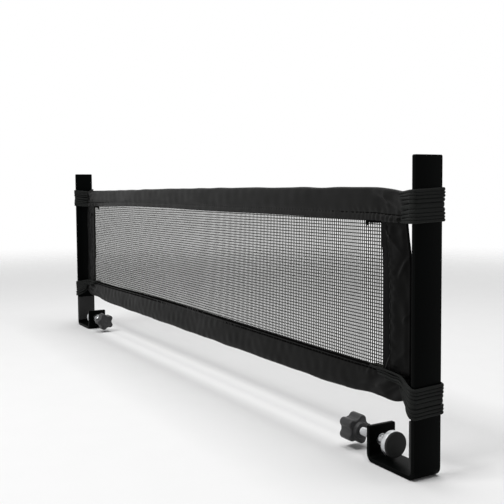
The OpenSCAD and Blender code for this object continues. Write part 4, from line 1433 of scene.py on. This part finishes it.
class NETSET_OT_windings(bpy.types.Operator):
    """Wind the elastic cord round both posts, at the top and at the foot"""

    bl_idname = "netset.windings"
    bl_label = "Cord windings"

    def execute(self, context):
        sizes = context.scene.net_set_sizes
        radius = sizes.cord_diameter / MM / 2
        for level, line in (("top", upper_route(sizes)), ("bottom", lower_route(sizes))):
            shape = tube(line, radius, 14, CORD_SQUEEZE)
            for end, side in ENDS:
                piece = shape.at_end(side).piece(f"{end}_{level}_cord_turns", "elastic_cord")
                settle_piece(piece, "net", "elastic_cord", f"{end}_{level}_winding")
        return {"FINISHED"}


class NETSET_OT_stage(bpy.types.Operator):
    """Set the floor, the soft studio lights and the camera"""

    bl_idname = "netset.stage"
    bl_label = "Stage"

    def execute(self, context):
        scene = context.scene
        self.floor(scene)
        self.lights(scene)
        camera = bpy.data.cameras.new("view")
        camera.lens, camera.sensor_width, camera.shift_y = LENS, SENSOR, SHIFT_UP
        camera.clip_start, camera.clip_end = 0.01, 60
        spot = bpy.data.objects.new("view", camera)
        spot.location = EYE
        spot.rotation_mode = "QUATERNION"
        spot.rotation_quaternion = Vector(AIM).to_track_quat("-Z", "Y") @ Quaternion((0, 0, 1), ROLL)
        scene.collection.objects.link(spot)
        scene.camera = spot
        scene.view_settings.view_transform = "Standard"
        return {"FINISHED"}

    def floor(self, scene):
        """A plain pale floor, which fades into the white round it."""
        sides, height = FLOOR_SIDES, POST_LOW[2] * MM
        points = [(r * math.cos(a), r * math.sin(a), height) for r in FLOOR_RINGS
                  for a in np.arange(sides) * math.tau / sides]
        points.append((0, 0, height))
        faces = [(len(points) - 1, k, (k + 1) % sides) for k in range(sides)]
        for a in range(0, (len(FLOOR_RINGS) - 1) * sides, sides):
            b = a + sides
            faces += [(a + k, b + k, b + (k + 1) % sides, a + (k + 1) % sides) for k in range(sides)]
        mesh = bpy.data.meshes.new("pale_floor")
        mesh.from_pydata(points, [], faces)
        tree, shader = new_finish("pale_floor", 0.85, Specular_IOR_Level=0.1)
        shades(tree, shader, noise(tree, place(tree), 30, 4), scene.net_set_colours.floor, 0.985, 1.01)
        spot = node(tree, "ShaderNodeTexCoord").outputs["Object"]
        far = node(tree, "ShaderNodeVectorMath", {0: spot}, operation="LENGTH").outputs["Value"]
        fade = wire(tree, "ShaderNodeMapRange", {"Value": far, "From Min": 0.55, "From Max": 1.9},
                    interpolation_type="SMOOTHSTEP")
        clear = wire(tree, "ShaderNodeBsdfTransparent")
        mix = wire(tree, "ShaderNodeMixShader", {0: fade, 1: shader.outputs[0], 2: clear})
        tree.links.new(mix, tree.nodes["Material Output"].inputs["Surface"])
        add_object("pale_floor", mesh, "pale_floor")

    def lights(self, scene):
        """White surroundings for the eye and for gloss, a level soft light, and a large lamp at the front."""
        world = bpy.data.worlds.new("white_room")
        world.use_nodes = True
        tree = world.node_tree
        rays = node(tree, "ShaderNodeLightPath").outputs
        seen = math_node(tree, "MAXIMUM", math_node(tree, "MAXIMUM", rays["Is Camera Ray"], rays["Is Glossy Ray"]),
                         rays["Is Transmission Ray"])
        strength = math_node(tree, "MULTIPLY_ADD", seen, 1 - ROOM_LIGHT, ROOM_LIGHT)
        back = tree.nodes["Background"]
        back.inputs["Color"].default_value = (1, 1, 1, 1)
        tree.links.new(strength, back.inputs["Strength"])
        scene.world = world
        for name, place_at, size, power in LAMPS:
            lamp = bpy.data.lights.new(name, "AREA")
            lamp.shape, lamp.size, lamp.size_y, lamp.energy = "RECTANGLE", size[0], size[1], power
            holder = bpy.data.objects.new(name, lamp)
            holder.location = place_at
            holder.rotation_mode = "QUATERNION"
            holder.rotation_quaternion = (Vector(LAMPS_AIM) - Vector(place_at)).to_track_quat("-Z", "Y")
            scene.collection.objects.link(holder)


OPERATORS = (
    NETSET_OT_finishes,
    NETSET_OT_posts,
    NETSET_OT_jaws,
    NETSET_OT_screws,
    NETSET_OT_pads,
    NETSET_OT_knobs,
    NETSET_OT_mesh,
    NETSET_OT_long_bindings,
    NETSET_OT_side_bindings,
    NETSET_OT_stitching,
    NETSET_OT_windings,
    NETSET_OT_stage,
)


class NETSET_PT_panel(bpy.types.Panel):
    """Sizes, colours and steps of the net set"""

    bl_label = "Net Set"
    bl_idname = "NETSET_PT_panel"
    bl_space_type = "VIEW_3D"
    bl_region_type = "UI"
    bl_category = "Net Set"

    def draw(self, context):
        layout = self.layout
        for group in (context.scene.net_set_sizes, context.scene.net_set_colours):
            box = layout.box()
            for name in group.__annotations__:
                box.prop(group, name)
        steps = layout.column(align=True)
        for step in OPERATORS:
            steps.operator(step.bl_idname)


CLASSES = (NetSetSizes, NetSetColours, *OPERATORS, NETSET_PT_panel)


def register():
    for each in CLASSES:
        bpy.utils.register_class(each)
    bpy.types.Scene.net_set_sizes = bpy.props.PointerProperty(type=NetSetSizes)
    bpy.types.Scene.net_set_colours = bpy.props.PointerProperty(type=NetSetColours)


def unregister():
    del bpy.types.Scene.net_set_colours
    del bpy.types.Scene.net_set_sizes
    for each in reversed(CLASSES):
        bpy.utils.unregister_class(each)


def main():
    """Runs every step in order."""
    register()
    for step in OPERATORS:
        group, name = step.bl_idname.split(".")
        getattr(getattr(bpy.ops, group), name)()


if __name__ == "__main__":
    main()
